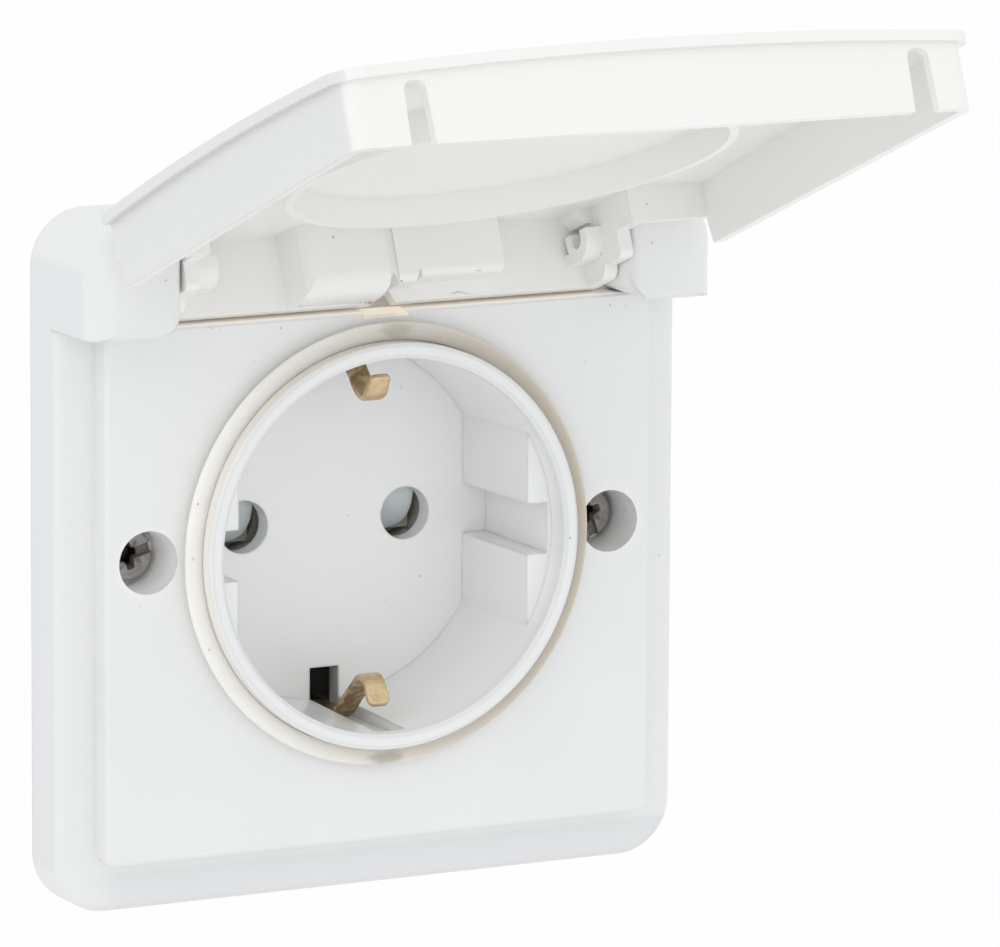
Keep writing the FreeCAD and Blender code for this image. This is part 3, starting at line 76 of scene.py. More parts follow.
class Term:  # a socket inside a material, on which + - * add their Math nodes
    def __init__(self, tree, socket):
        self.tree, self.socket = tree, socket

    def math(self, operation, *others, clamp=False):
        settings = {"operation": operation, "use_clamp": clamp}
        return self.tree.node("ShaderNodeMath", settings, dict(enumerate((self, *others))))

    def __add__(self, other):
        return self.math("ADD", other)

    __radd__ = __add__

    def __sub__(self, other):
        return self.math("SUBTRACT", other)

    def __rsub__(self, other):
        return self.tree.node("ShaderNodeMath", {"operation": "SUBTRACT"}, {0: other, 1: self})

    def __mul__(self, other):
        return self.math("MULTIPLY", other)

    __rmul__ = __mul__

    def clamp(self):
        return self.math("ADD", 0.0, clamp=True)

    def size(self):
        return self.math("ABSOLUTE")

    def root(self):
        return self.math("SQRT")

    def between(self, low, high):  # 0 at low, 1 at high, with a smooth change
        settings = {"interpolation_type": "SMOOTHSTEP"}
        return self.tree.node("ShaderNodeMapRange", settings, {0: self, 1: low, 2: high, 3: 0.0, 4: 1.0})

    def other(self, number):
        return Term(self.tree, self.socket.node.outputs[number])


class Tree:  # the nodes of a material or of the world
    def __init__(self, owner):
        owner.use_nodes = True
        self.nodes, self.links = owner.node_tree.nodes, owner.node_tree.links
        self.nodes.clear()

    def node(self, kind, settings, sockets, out=0):
        made = self.nodes.new(kind)
        for key, value in settings.items():
            setattr(made, key, value)
        for key, value in sockets.items():
            self.put(made.inputs[key], value)
        return Term(self, made.outputs[out]) if len(made.outputs) else None

    def put(self, socket, value):
        if isinstance(value, Term):
            self.links.new(value.socket, socket)
        elif isinstance(value, tuple) and socket.type == "RGBA":
            socket.default_value = (*value, 1.0)
        else:
            socket.default_value = value

    def mix(self, factor, first, second):  # goes from the first colour to the second
        return self.node("ShaderNodeMix", {"data_type": "RGBA"}, {0: factor, 6: first, 7: second}, 2)

    def whiteSeen(self, lit, share):  # plain white for what the camera, gloss and clear things see
        path = self.node("ShaderNodeLightPath", {}, {}, "Is Camera Ray")
        seen = path + Term(self, path.socket.node.outputs["Is Glossy Ray"])
        seen = (seen + Term(self, path.socket.node.outputs["Is Transmission Ray"])).clamp() * share
        plain = self.node("ShaderNodeEmission", {}, {0: (1.0, 1.0, 1.0), 1: 1.0})
        return self.node("ShaderNodeMixShader", {}, {0: seen, 1: lit, 2: plain})


class Finish(Tree):  # one Principled material; x, y and z are Object coordinates in mm
    def __init__(self, name):
        self.material = bpy.data.materials.new(name)
        super().__init__(self.material)
        raw = self.node("ShaderNodeTexCoord", {}, {}, "Object")
        self.place = self.node("ShaderNodeVectorMath", {"operation": "SCALE"}, {0: raw, "Scale": 1000.0})
        self.x = self.node("ShaderNodeSeparateXYZ", {}, {0: self.place})
        self.y, self.z = self.x.other(1), self.x.other(2)

    def stretched(self, across, along, up):
        return self.node("ShaderNodeVectorMath", {"operation": "MULTIPLY"}, {0: self.place, 1: (across, along, up)})

    def noise(self, scale, detail=3.0, rough=0.5, place=None):
        sockets = {"Vector": place or self.place, "Scale": scale, "Detail": detail, "Roughness": rough}
        return self.node("ShaderNodeTexNoise", {}, sockets, "Fac")

    def cells(self, scale, out="Distance"):
        return self.node("ShaderNodeTexVoronoi", {}, {"Vector": self.place, "Scale": scale}, out)

    def away(self, point):  # distance in mm from a point
        return self.node("ShaderNodeVectorMath", {"operation": "DISTANCE"}, {0: self.place, 1: point}, "Value")

    def nearPoint(self, point, radius, soft=0.5):
        return 1.0 - self.away(point).between(radius * (1 - soft), radius * (1 + soft))

    # 1 near a straight line: the place's share along it, held between 0 and 1, gives the nearest point
    def nearLine(self, start, end, radius):
        first, span = np.array(start, float), np.subtract(end, start).astype(float)
        share = (np.array([self.x, self.y, self.z]) - first) @ (span / float(span @ span))
        share = share.clamp()
        axes = (self.x, self.y, self.z)
        gaps = [axis - (share * float(span[k]) + float(first[k])) for k, axis in enumerate(axes)]
        far = (gaps[0] * gaps[0] + gaps[1] * gaps[1] + gaps[2] * gaps[2]).root()
        return 1.0 - far.between(radius * 0.5, radius * 1.5)

    def bump(self, height, strength, depth, edge=0.0):  # grain, on edges softened by a radius in mm
        sockets = {"Height": height, "Strength": strength, "Distance": depth * mm}
        if edge:
            bevel = {"samples": 2}  # few, so that the picture stays quick
            sockets["Normal"] = self.node("ShaderNodeBevel", bevel, {"Radius": edge * mm}, "Normal")
        return self.node("ShaderNodeBump", {}, sockets, "Normal")

    def done(self, **sockets):
        self.material.cycles.emission_sampling = "NONE"  # a glow here is faint and lights nothing far off
        named = {key.replace("_", " "): value for key, value in sockets.items()}
        self.node("ShaderNodeOutputMaterial", {}, {0: self.node("ShaderNodeBsdfPrincipled", {}, named)})
        return self.material


def wear(material, *names):
    for name in names:
        nodes[name].data.materials.clear()
        nodes[name].data.materials.append(material)


# quads of a grid of rows by columns: point = row * columns + column, and the last column meets the first
def gridFaces(rows, columns):
    row = np.arange(rows - 1)[:, None]
    column = np.arange(columns)[None, :]
    after = (column + 1) % columns
    quads = np.stack([row * columns + column, (row + 1) * columns + column,
                      (row + 1) * columns + after, row * columns + after], axis=-1)
    return quads.reshape(-1, 4)


# puts points in mm and faces into a mesh at the origin, which rides on a body
def makePiece(name, points, faces, material, replaced, body="socket_body"):
    mesh = bpy.data.meshes.new(name)
    places = np.asarray(points, float).reshape(-1, 3) * mm
    mesh.from_pydata(places.tolist(), [], [list(f) for f in faces])
    work = bmesh.new()
    work.from_mesh(mesh)
    bmesh.ops.remove_doubles(work, verts=work.verts, dist=1e-7)  # the middle of a disc is one point
    work.to_mesh(mesh)
    work.free()
    mesh.validate()
    mesh.polygons.foreach_set("use_smooth", np.ones(len(mesh.polygons), bool))
    mesh.materials.append(material)
    piece = bpy.data.objects.new(name, mesh)
    bpy.context.scene.collection.objects.link(piece)
    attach(piece, body)
    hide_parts(replaced)
    return piece


def arcOf(centre, radius, start, end, steps):  # points of an arc, by angle in degrees
    angle = np.radians(np.linspace(start, end, steps))
    return np.stack([centre[0] + radius * np.cos(angle), centre[1] + radius * np.sin(angle)], axis=-1)


def smoothStep(value, low, high):  # 0 below low, 1 above high, share squared * (3 - 2 share) between
    share = np.clip((value - low) / (high - low), 0, 1)
    return share * share * (3 - 2 * share)


# colours of the white plastics, then how strong their dirt is, how large their clouds are, and how lines break up
black = (0.0, 0.0, 0.0)
coverOf = {"white": (0.865, 0.87, 0.868), "cool": (0.84, 0.85, 0.855), "warm": (0.875, 0.862, 0.835),
           "pale": (0.935, 0.937, 0.932), "ivory": (0.955, 0.944, 0.922), "beige": (0.82, 0.785, 0.72),
           "dust": (0.80, 0.80, 0.795), "dirt": (0.13, 0.115, 0.10), "soil": 0.75, "clouds": 0.035,
           "plain": (0.35, 0.7), "torn": 2.6, "gaps": (0.3, 0.55)}

# dirt, in mm: points carry (place, radius, depth), lines carry (start, end, radius, depth)
marksOf = {
    "lid": {"points": [((-6.39, -9.71, 32.69), 0.13, 0.8), ((-9.79, -8.96, 25.62), 0.2, 0.7),
                       ((-1.39, -8.31, 25.35), 0.28, 0.75), ((-1.9, -8.4, 25.33), 0.16, 0.7),
                       ((1.07, -10.66, 27.73), 0.16, 0.7), ((26.26, -17.32, 35.07), 0.12, 0.5),
                       ((24.19, -11.16, 29.07), 0.14, 0.35)],
            "lines": [((7.05, -9.2, 27.9), (7.13, -8.71, 27.24), 0.11, 0.7),
                      ((8.1, -8.2, 25.5), (9.0, -8.13, 25.7), 0.08, 0.6),
                      ((9.0, -8.13, 25.7), (10.6, -8.26, 25.3), 0.07, 0.5),
                      ((9.9, -10.5, 28.2), (10.34, -10.51, 28.17), 0.1, 0.6),
                      ((-9.6, -8.8, 25.55), (-6.0, -8.54, 25.45), 0.09, 0.5),
                      ((-5.2, -8.5, 25.43), (-2.2, -8.3, 25.36), 0.1, 0.55)]},
    "front_plate": {"points": [((-11.77, -8.55, 23.4), 0.12, 0.5), ((26.72, -8.55, 23.11), 0.12, 0.5),
                               ((28.64, -8.55, 22.87), 0.1, 0.4), ((-27.77, -8.55, -4.47), 0.12, 0.25),
                               ((-14.87, -8.55, 20.18), 0.11, 0.25), ((23.8, -8.55, 17.25), 0.11, 0.25),
                               ((30.16, -5.81, 0.44), 0.13, 0.4)],
                    "lines": [((-20.3, -8.55, 24.2), (-19.4, -8.55, 23.8), 0.07, 0.3),
                              ((-18.9, -8.55, 24.2), (-18.62, -8.55, 23.4), 0.06, 0.22),
                              ((29.5, -7.9, 1.9), (29.8, -7.6, 1.6), 0.09, 0.45)]},
    "outer_frame": {"points": [((28.16, -15.0, 30.57), 0.13, 0.5), ((-27.91, -15.0, 30.39), 0.13, 0.5),
                               ((34.38, -5.8, -4.77), 0.12, 0.4), ((26.35, -14.05, 25.96), 0.12, 0.3)], "lines": []},
    "socket_insert": {"points": [((20.36, -11.95, -0.71), 0.13, 0.5), ((16.14, -9.56, 11.34), 0.1, 0.5),
                                 ((18.91, -11.3, 5.81), 0.12, 0.45), ((2.73, 4.95, 0.29), 0.13, 0.3),
                                 ((11.26, 4.95, -6.97), 0.12, 0.45), ((7.36, 4.95, -9.27), 0.11, 0.3)],
                      "lines": [((9.03, 4.95, 13.7), (9.1, 4.95, 13.3), 0.09, 0.3),
                                ((19.15, 1.15, -1.36), (19.15, -0.2, -1.6), 0.08, 0.2),
                                ((19.15, -0.68, -1.3), (19.15, -2.28, -1.62), 0.07, 0.2)]},
}


# moulded white plastic: faint cloudiness, fine matt grain, edges softened where asked, its tint with its painted
# light and shade, and its dirt
def whitePlastic(node, tintAndPaintedLight, gloss, grainDepth, grainSize=0.9, edge=0.0, warmth=0.0, through=None):
    c = coverOf
    finish = Finish(node + "Plastic")
    cloud, fine = finish.noise(c["clouds"], 2.0), finish.noise(grainSize, 2.0, 0.6)
    colour = finish.mix(cloud.between(*c["plain"]), c["white"], c["cool"])
    if warmth:
        colour = finish.mix(warmth, colour, c["warm"])
    colour = finish.mix(cloud * 0.04, tintAndPaintedLight(finish, colour), c["dust"])
    for place, radius, depth in marksOf[node]["points"]:
        colour = finish.mix(finish.nearPoint(place, radius) * (depth * c["soil"]), colour, c["dirt"])
    for start, end, radius, depth in marksOf[node]["lines"]:
        broken = finish.nearLine(start, end, radius) * finish.noise(c["torn"], 2.0).between(*c["gaps"])
        colour = finish.mix(broken * (depth * c["soil"]), colour, c["dirt"])
    # painted light: an emission glow from the through function, where one is given
    shine = {"Emission_Color": through(finish), "Emission_Strength": 1.0} if through else {}
    return finish.done(
        Base_Color=colour, Roughness=gloss + (fine - 0.5) * 0.02 + (cloud - 0.5) * 0.08, **shine,
        Normal=finish.bump(fine + cloud * 0.6, 0.35, grainDepth, edge), IOR=1.49)


# In the dictionaries below, a pair whose name ends in X, Y or Z is where a change of colour starts and ends along
# that axis, in mm.
ringOf = {"inner": 21.53, "outer": 23.4, "front": -10.25, "foot": 22.6, "seat": -8.55, "sleeve": 22.4, "end": -6.4,
          "round": 0.3, "steps": 240, "lip": 0.03, "pale": (0.92, 0.90, 0.85), "deep": (0.54, 0.495, 0.425),
          "sideX": (-26.0, 26.0), "glow": (0.062, 0.053, 0.040), "glowX": (-26.0, 8.0),
          "smudge": (0.30, 0.275, 0.23), "smudges": ((0.75, 22.6, 0.38), (-0.3, -22.7, 0.5)),
          "specks": (((-22.08, -10.25, 6.07), 0.14, 0.5), ((-22.62, -10.25, 0.37), 0.22, 0.2),
                     ((23.15, -10.25, -2.9), 0.14, 0.5), ((-20.75, -10.25, -9.3), 0.12, 0.4))}

frameOf = {"hollowX": (26.0, 27.5), "hollowY": (-14.6, -13.8), "hollowZ": (24.0, 25.0),
           "shadedLeftX": (-36.15, -35.9), "left": (0.81, 0.814, 0.825),
           "lowX": (-34.0, -28.0), "lowZ": (-33.4, -32.6), "low": (0.785, 0.79, 0.80),
           "wallY": (-9.0, -7.6), "wallZ": (23.6, 24.6), "wall": 0.6,
           "notch": 1.4, "notchX": (3.0, 3.6), "notchY": (-6.4, -5.4), "floorZ": (24.2, 24.4), "roofZ": (25.6, 26.2),
           "glow": (0.20, 0.18, 0.155)}


# painted light and shade on the frame: its hollows are painted paler for light that comes in through the plastic and
# from wall to wall, and its left side, its bottom edge and the wall over the gap are painted in shade
def framePaintedLight(finish, colour):
    s = frameOf
    inside = 1.0 - finish.x.size().between(*s["hollowX"])
    # painted light: the hollow under the lid's hinge is painted ivory
    under = finish.z.between(*s["hollowZ"]) * inside * finish.y.between(*s["hollowY"])
    colour = finish.mix(under, colour, coverOf["ivory"])
    # painted shade: the frame's left side is painted a cool grey
    colour = finish.mix(finish.x.between(*s["shadedLeftX"]), s["left"], colour)
    # painted shade: a cool grey along the frame's bottom edge
    low = (1.0 - finish.z.between(*s["lowZ"])) * finish.x.between(*s["lowX"])
    colour = finish.mix(low, colour, s["low"])
    # painted warm shade: the wall over the gap under the hinge is painted beige
    behind = finish.y.between(*s["wallY"]) * finish.z.between(*s["wallZ"]) * inside
    return finish.mix(behind * s["wall"], colour, coverOf["beige"])


# painted light: the same light, as an emission glow in the notch under the hinge wall
def frameGlow(finish):
    s = frameOf
    notch = finish.y.between(*s["notchY"]) * finish.z.between(*s["floorZ"]) * (1.0 - finish.z.between(*s["roofZ"]))
    notch = notch * (1.0 - (finish.x - s["notch"]).size().between(*s["notchX"]))
    return finish.mix(notch, black, s["glow"])


plateOf = {"well": (26.87, -5.0), "wellPaintedLight": (4.6, 0.9), "wellGlow": (4.4, (0.055, 0.055, 0.055)), "soft": 0.25,
           "gapX": (27.0, 28.0), "gapY": (-8.5, -8.15), "gapZ": (23.3, 23.6),
           "deepY": (-6.6, -5.2), "fade": 0.35, "glow": (0.24, 0.218, 0.19)}


# 1 on the plate's top edge, which lies in the gap under the hinge wall
def gapOf(finish):
    s = plateOf
    ends = 1.0 - finish.x.size().between(*s["gapX"])
    return finish.y.between(*s["gapY"]) * finish.z.between(*s["gapZ"]) * ends


# painted light and shade: the screw wells are painted pale, and the plate's top edge in the gap under the hinge wall
# is painted beige shade
def platePaintedLight(finish, colour):
    (x, y), (radius, share) = plateOf["well"], plateOf["wellPaintedLight"]
    for side in (-x, x):
        well = finish.nearPoint((side, y, 0.0), radius, plateOf["soft"])
        colour = finish.mix(well * share, colour, coverOf["pale"])
    return finish.mix(gapOf(finish), colour, coverOf["beige"])


# painted light: an emission glow for light that soaks through the plate and the frame leaves this gap beige instead
# of black, and glows faintly in the left screw well
def plateGlow(finish):
    (x, y), (radius, shine) = plateOf["well"], plateOf["wellGlow"]
    deep = gapOf(finish) * (1.0 - finish.y.between(*plateOf["deepY"]) * plateOf["fade"])
    well = finish.nearPoint((-x, y, 0.0), radius, plateOf["soft"])
    return finish.mix(deep, finish.mix(well, black, shine), plateOf["glow"])


insertOf = {"deepY": (-11.6, -9.6), "deep": 0.75, "slotY": (5.0, 5.4), "slotZ": (12.5, 13.5),
            "slot": (0.62, 0.61, 0.585), "collarY": (-11.9, -11.7), "collarRadius": (21.36, 21.46)}


# painted light and shade: the deep recess is painted paler than the collar, the walls of the slots through the floor
# are painted grey shade, and the collar's outer side takes the soft ring's colour with its painted light and shade
def insertPaintedLight(finish, colour):
    s = insertOf
    colour = finish.mix(finish.y.between(*s["deepY"]) * s["deep"], colour, coverOf["pale"])
    # painted shade: the slot walls in the floor are grey
    slot = finish.y.between(*s["slotY"]) * finish.z.size().between(*s["slotZ"])
    colour = finish.mix(slot, colour, s["slot"])
    far = (finish.x * finish.x + finish.z * finish.z).root()
    ringed = finish.mix(finish.x.between(*ringOf["sideX"]), ringOf["pale"], ringOf["deep"])
    return finish.mix(far.between(*s["collarRadius"]) * finish.y.between(*s["collarY"]), colour, ringed)


lidOf = {"ivory": 0.75, "shadedLeftX": (-34.2, -33.9), "left": (0.80, 0.802, 0.80)}


# the lid is warmer than the rest, but its left side is painted a grey shade
def lidTintAndShade(finish, colour):
    colour = finish.mix(lidOf["ivory"], colour, coverOf["ivory"])
    return finish.mix(finish.x.between(*lidOf["shadedLeftX"]), lidOf["left"], colour)


mouldingsOf = {
    "outer_frame": {"tintAndPaintedLight": framePaintedLight, "gloss": 0.42, "grainSize": 1.3, "grainDepth": 0.008, "edge": 0.45,
                    "through": frameGlow},
    "front_plate": {"tintAndPaintedLight": platePaintedLight, "gloss": 0.40, "grainSize": 1.3, "grainDepth": 0.008, "through": plateGlow},
    "lid": {"tintAndPaintedLight": lidTintAndShade, "gloss": 0.30, "grainDepth": 0.004, "warmth": 0.4},
    "socket_insert": {"tintAndPaintedLight": insertPaintedLight, "gloss": 0.24, "grainSize": 0.6, "grainDepth": 0.003, "edge": 0.35},
}


def dressMouldings():
    for name, look in mouldingsOf.items():
        wear(whitePlastic(name, **look), name)


dressMouldings()
print("mouldings dressed")


# a profile of (radius, y) turned round the plug's axis: x = r cos a, z = r sin a
def makeRing():
    s = ringOf
    r = s["round"]
    profile = np.concatenate([
        [[s["inner"], s["end"]]], arcOf((s["inner"] + s["lip"], s["front"] + s["lip"]), s["lip"], 180, 270, 5),
        arcOf((s["outer"] - r, s["front"] + r), r, -90, 25, 12),
        [[s["foot"], s["seat"]], [s["sleeve"], s["seat"]], [s["sleeve"], s["end"]], [s["inner"], s["end"]]],
    ])
    angle = np.linspace(0, 2 * np.pi, s["steps"], endpoint=False)
    radius, depth = profile[:, :1], profile[:, 1:]
    points = np.stack([radius * np.cos(angle), depth + 0 * angle, radius * np.sin(angle)], axis=-1)
    finish = Finish("softRing")
    cloud, fine = finish.noise(0.12, 3.0), finish.noise(2.5, 3.0)
    # painted light and shade: the ring is painted pale on the left and dark on the right
    colour = finish.mix(finish.x.between(*s["sideX"]), s["pale"], s["deep"])
    colour = finish.mix(cloud.between(0.4, 0.75) * 0.15, colour, s["deep"])
    # the steel behind the ring shows through it as a soft dark smudge at the top and the bottom
    ragged = (finish.noise(1.6, 2.0, 0.5, finish.stretched(0.5, 1.0, 1.6)) - 0.5) * 0.7
    for middle, up, share in s["smudges"]:
        across = (finish.x - middle) * 0.36
        along = (finish.z - up) * 0.85
        spot = (across * across + along * along).root() + ragged
        colour = finish.mix((1.0 - spot.between(0.3, 1.0)) * share, colour, s["smudge"])
    for place, size, share in s["specks"]:
        colour = finish.mix(finish.nearPoint(place, size) * share, colour, coverOf["dirt"])
    # painted light: the ring's left side glows
    material = finish.done(
        Base_Color=colour, Roughness=0.42 + (fine - 0.5) * 0.2, Normal=finish.bump(fine + cloud * 0.8, 0.3, 0.01),
        Emission_Color=finish.mix(finish.x.between(*s["glowX"]), s["glow"], black), Emission_Strength=1.0,
        Subsurface_Weight=0.75, Subsurface_Radius=(1.0, 0.93, 0.8), Subsurface_Scale=2.5 * mm, IOR=1.42)
    makePiece("softRing", points, gridFaces(len(profile), s["steps"]), material, "collar_gasket")


makeRing()
print("soft ring made")

screwOf = {
    "cover": {"head": 2.85, "rise": 1.5, "shank": 1.45, "length": 8.0, "slot": 1.05, "depth": 0.75, "cross": 1.6,
              "pitch": 0.6, "rings": 80, "steps": 288, "edge": 0.34},
    "terminal": {"head": 2.4, "rise": 1.8, "shank": 1.6, "length": 7.0, "slot": 0.8, "depth": 0.75, "cross": 0.0,
                 "pitch": 0.7, "rings": 30, "steps": 96, "edge": 0.3},
    "base": {"head": 2.2, "rise": 1.6, "shank": 1.2, "length": 18.0, "slot": 0.8, "depth": 0.75, "cross": 1.2,
             "pitch": 0.8, "rings": 30, "steps": 96, "edge": 0.3},
}
headOf = {"soft": 0.045, "burr": 0.03, "arm": 0.60, "taper": 0.16, "ramp": 2.6, "deepest": 2.0, "heart": (0.75, 0.9),
          "heartDepth": 1.7, "ticks": ((-0.17, 1.55), (0.0, 1.9), (0.17, 1.65)), "tick": (0.025, 0.07),
          "tickStart": (0.9, 1.0), "tickDepth": 0.14, "thread": 0.18, "point": 0.7}


# The head's top is a height over (radius, angle): a rounded rim, a slot, a cross whose arms taper outwards, and
# scratched ticks between them. Its side and its thread follow as more rings, and the thread is a ridge whose
# radius depends on depth/pitch - angle/turn.
def screwPoints(spec, turn):
    angle = np.linspace(0, 2 * np.pi, spec["steps"], endpoint=False)[None, :]
    h = headOf
    head, rise, shank, length, edge = (spec[k] for k in ("head", "rise", "shank", "length", "edge"))
    radius = np.linspace(0.0, 1.0, spec["rings"])[:, None] * head + 0 * angle
    local = angle - math.radians(turn)
    along, across = radius * np.cos(local), radius * np.sin(local)
    rim = edge - np.sqrt(np.maximum(edge**2 - (radius - head + edge) ** 2, 0))
    crown = np.where(radius > head - edge, rim, 0.0)
    soft = h["soft"]
    rough = h["burr"] * np.sin(along * 9 + 2 * np.sin(across * 7)) * np.sin(across * 11)
    half = spec["slot"] / 2
    cut = (spec["depth"] + rough) * (1 - smoothStep(np.abs(across), half - soft, half + soft))
    if spec["cross"]:
        for a, b in ((along, across), (across, along)):
            half = h["arm"] - h["taper"] * np.abs(b)
            arm = 1 - smoothStep(np.abs(a), half - soft, half + soft)
            cut = np.maximum(cut, arm * np.clip((spec["cross"] - np.abs(b)) * h["ramp"], 0, h["deepest"]))
        cut = np.maximum(cut, (1 - smoothStep(radius, *h["heart"])) * h["heartDepth"])
        for shift, reach in h["ticks"]:
            tick = np.abs(np.abs(along) - np.abs(across) - shift) / math.sqrt(2)
            where = smoothStep(radius, *h["tickStart"]) * (1 - smoothStep(radius, reach - 0.1, reach))
            cut = np.maximum(cut, (1 - smoothStep(tick, *h["tick"])) * where * h["tickDepth"])
    cut = np.minimum(cut, rise + length * 0.2)
    rows = [np.stack([radius * np.cos(angle), crown + cut, radius * np.sin(angle)], axis=-1)]

    def ringAt(r, y):
        r = r + 0 * angle
        rows.append(np.stack([r * np.cos(angle), y + 0 * angle, r * np.sin(angle)], axis=-1))

    ringAt(head, rise - 0.05)
    ringAt(head - 0.05, rise)
    ringAt(shank, rise)
    for y in np.arange(rise + 0.1, rise + length - 0.3, spec["pitch"] / 6):
        phase = np.mod(y / spec["pitch"] - angle / (2 * np.pi), 1.0)
        ringAt(shank - h["thread"] * shank * (1 - np.abs(2 * phase - 1)), y)
    ringAt(shank * h["point"], rise + length)
    ringAt(0.0, rise + length)
    return np.concatenate(rows)


# a screw whose head faces the front, or the back through y = -y
def makeScrew(name, kind, place, turn, material, replaced):
    points = screwPoints(screwOf[kind], turn)
    quads = gridFaces(len(points), screwOf[kind]["steps"])
    points = points.reshape(-1, 3)
    if kind != "cover":
        points, quads = points * np.array([1.0, -1.0, 1.0]), quads[:, ::-1]
    makePiece(name, points + np.array(place), quads, material, replaced)


coverScrewY = -3.6
zincOf = {"light": (0.36, 0.345, 0.33), "dark": (0.24, 0.23, 0.215), "ring": (0.44, 0.43, 0.41),
          "spot": (0.17, 0.155, 0.14), "floor": (0.30, 0.245, 0.215), "rust": (0.13, 0.10, 0.085),
          "darkDeep": (0.015, 0.011, 0.009), "floorY": (-3.5, -3.1), "darkDeepY": (-2.78, -2.5)}


# dull zinc: turning rings about the head's own axis, a brown slot floor, and near black deep in the cross
def coverZinc(name, centreX):
    s = zincOf
    finish = Finish(name)
    blotch, fine = finish.noise(0.9, 4.0, 0.6), finish.noise(7.0, 3.0)
    away = finish.away((centreX, coverScrewY, 0.0))
    rings = finish.noise(6.0, 2.0, 0.5, finish.node("ShaderNodeCombineXYZ", {}, {0: away * 2.2, 1: 0.3, 2: 0.1}))
    colour = finish.mix(blotch.between(0.35, 0.7), s["light"], s["dark"])
    colour = finish.mix(rings.between(0.3, 0.75) * 0.5, colour, s["ring"])
    colour = finish.mix(fine.between(0.5, 0.8) * 0.3, colour, s["spot"])
    floor = finish.y.between(*s["floorY"])
    colour = finish.mix(floor * 0.9, colour, finish.mix(fine.between(0.3, 0.7), s["floor"], s["rust"]))
    colour = finish.mix(finish.y.between(*s["darkDeepY"]), colour, s["darkDeep"])
    return finish.done(Base_Color=colour, Roughness=0.42 + (blotch - 0.5) * 0.25 + (fine - 0.5) * 0.2,
                       Metallic=0.75 - floor * 0.6, Normal=finish.bump(rings + fine * 0.6, 0.4, 0.012))


def terminalSteel():  # steel with dull blotches and dark spots
    finish = Finish("terminalSteel")
    blotch, fine = finish.noise(0.9, 4.0, 0.6), finish.noise(9.0, 3.0)
    colour = finish.mix(blotch.between(0.35, 0.7), (0.56, 0.55, 0.52), (0.40, 0.39, 0.36))
    colour = finish.mix(fine.between(0.45, 0.8) * 0.35, colour, (0.28, 0.27, 0.25))
    return finish.done(Base_Color=colour, Roughness=0.36 + (blotch - 0.5) * 0.25 + (fine - 0.5) * 0.2,
                       Metallic=1.0, Normal=finish.bump(finish.noise(12.0, 2.0), 0.3, 0.01))


# places of the heads in mm, and their turns in degrees
screwsAt = {"cover": (("left", -26.87, 14.0), ("right", 26.87, -70.0)),
            "terminal": (("neutral", (-9.5, 28.67, -9.4), 30.0), ("live", (9.5, 28.67, -9.4), -22.0),
                         ("earth", (0.0, 32.22, 0.0), 8.0)),
            "base": (((7.5, 27.57, 13.2), 40.0), ((0.0, 27.57, -9.0), -15.0))}


def makeScrews():
    for side, x, turn in screwsAt["cover"]:
        zinc = coverZinc("coverZinc_" + side, x)
        makeScrew("coverScrew_" + side, "cover", (x, coverScrewY, 0.0), turn, zinc,
                  "cover_screw_" + side)
    steel = terminalSteel()
    for name, place, turn in screwsAt["terminal"]:
        makeScrew(name + "TerminalScrew", "terminal", place, turn, steel, name + "_terminal_screw")
    for number, (place, turn) in enumerate(screwsAt["base"]):
        makeScrew("baseScrew%d" % number, "base", place, turn, steel, "base_screws")


makeScrews()
print("screws made")

stripOf = {"half": 1.25, "thick": 0.8, "lean": 41.4, "tip": 30.0, "bend": 1.5, "bendY": -5.7, "bendZ": 16.4,
           "tipLength": 2.2, "innerZ": 19.7, "back": 30.02, "section": 32, "eye": 3.25, "rings": 420,
           "legRound": 0.5, "footRound": 1.2, "backRound": 0.9, "tipWide": (0.7, 0.6), "tipThin": (0.35, 0.8),
           "wave": (0.05, 1.9), "square": (0.4, 0.6)}


# a path through corners, each (y, z, radius): straight runs joined by arcs that touch them
def roundedPath(corners, steps=10):
    corners = [np.array(c, float) for c in corners]
    runs = [corners[0][None, :2]]
    for before, here, after in zip(corners, corners[1:], corners[2:]):
        inward = (before[:2] - here[:2]) / np.linalg.norm(before[:2] - here[:2])
        outward = (after[:2] - here[:2]) / np.linalg.norm(after[:2] - here[:2])
        half = math.acos(float(np.clip(np.dot(inward, outward), -1, 1))) / 2
        reach = here[2] / math.tan(half)
        middle = here[:2] + (inward + outward) / np.linalg.norm(inward + outward) * here[2] / math.sin(half)
        first, last = here[:2] + inward * reach - middle, here[:2] + outward * reach - middle
        angle = math.acos(float(np.clip(np.dot(first, last) / (here[2] ** 2), -1, 1)))
        share = np.linspace(0, 1, steps)[:, None]
        runs.append(middle + (np.sin((1 - share) * angle) * first + np.sin(share * angle) * last) / math.sin(angle))
    runs.append(corners[-1][None, :2])
    return np.concatenate(runs)


# middle line of the lower hook, from its tip round the bend, and where its leaning leg meets the slot's floor
def hookLine():
    s = stripOf
    lean, tip, r = math.radians(s["lean"]), math.radians(s["tip"]), s["bend"]
    centre = np.array([s["bendY"], -s["bendZ"]])
    outer = centre + r * np.array([-math.cos(tip), math.sin(tip)])
    end = outer + s["tipLength"] * np.array([-math.sin(tip), -math.cos(tip)])
    arc = arcOf(centre, r, 180 - s["tip"], 90 - s["lean"], 26)
    flat = -(s["innerZ"] + s["thick"] / 2)
    foot = arc[-1] + np.array([math.cos(lean), -math.sin(lean)]) * (arc[-1][1] - flat) / math.sin(lean)
    return np.concatenate([np.linspace(end, outer, 8)[:-1], arc]), foot


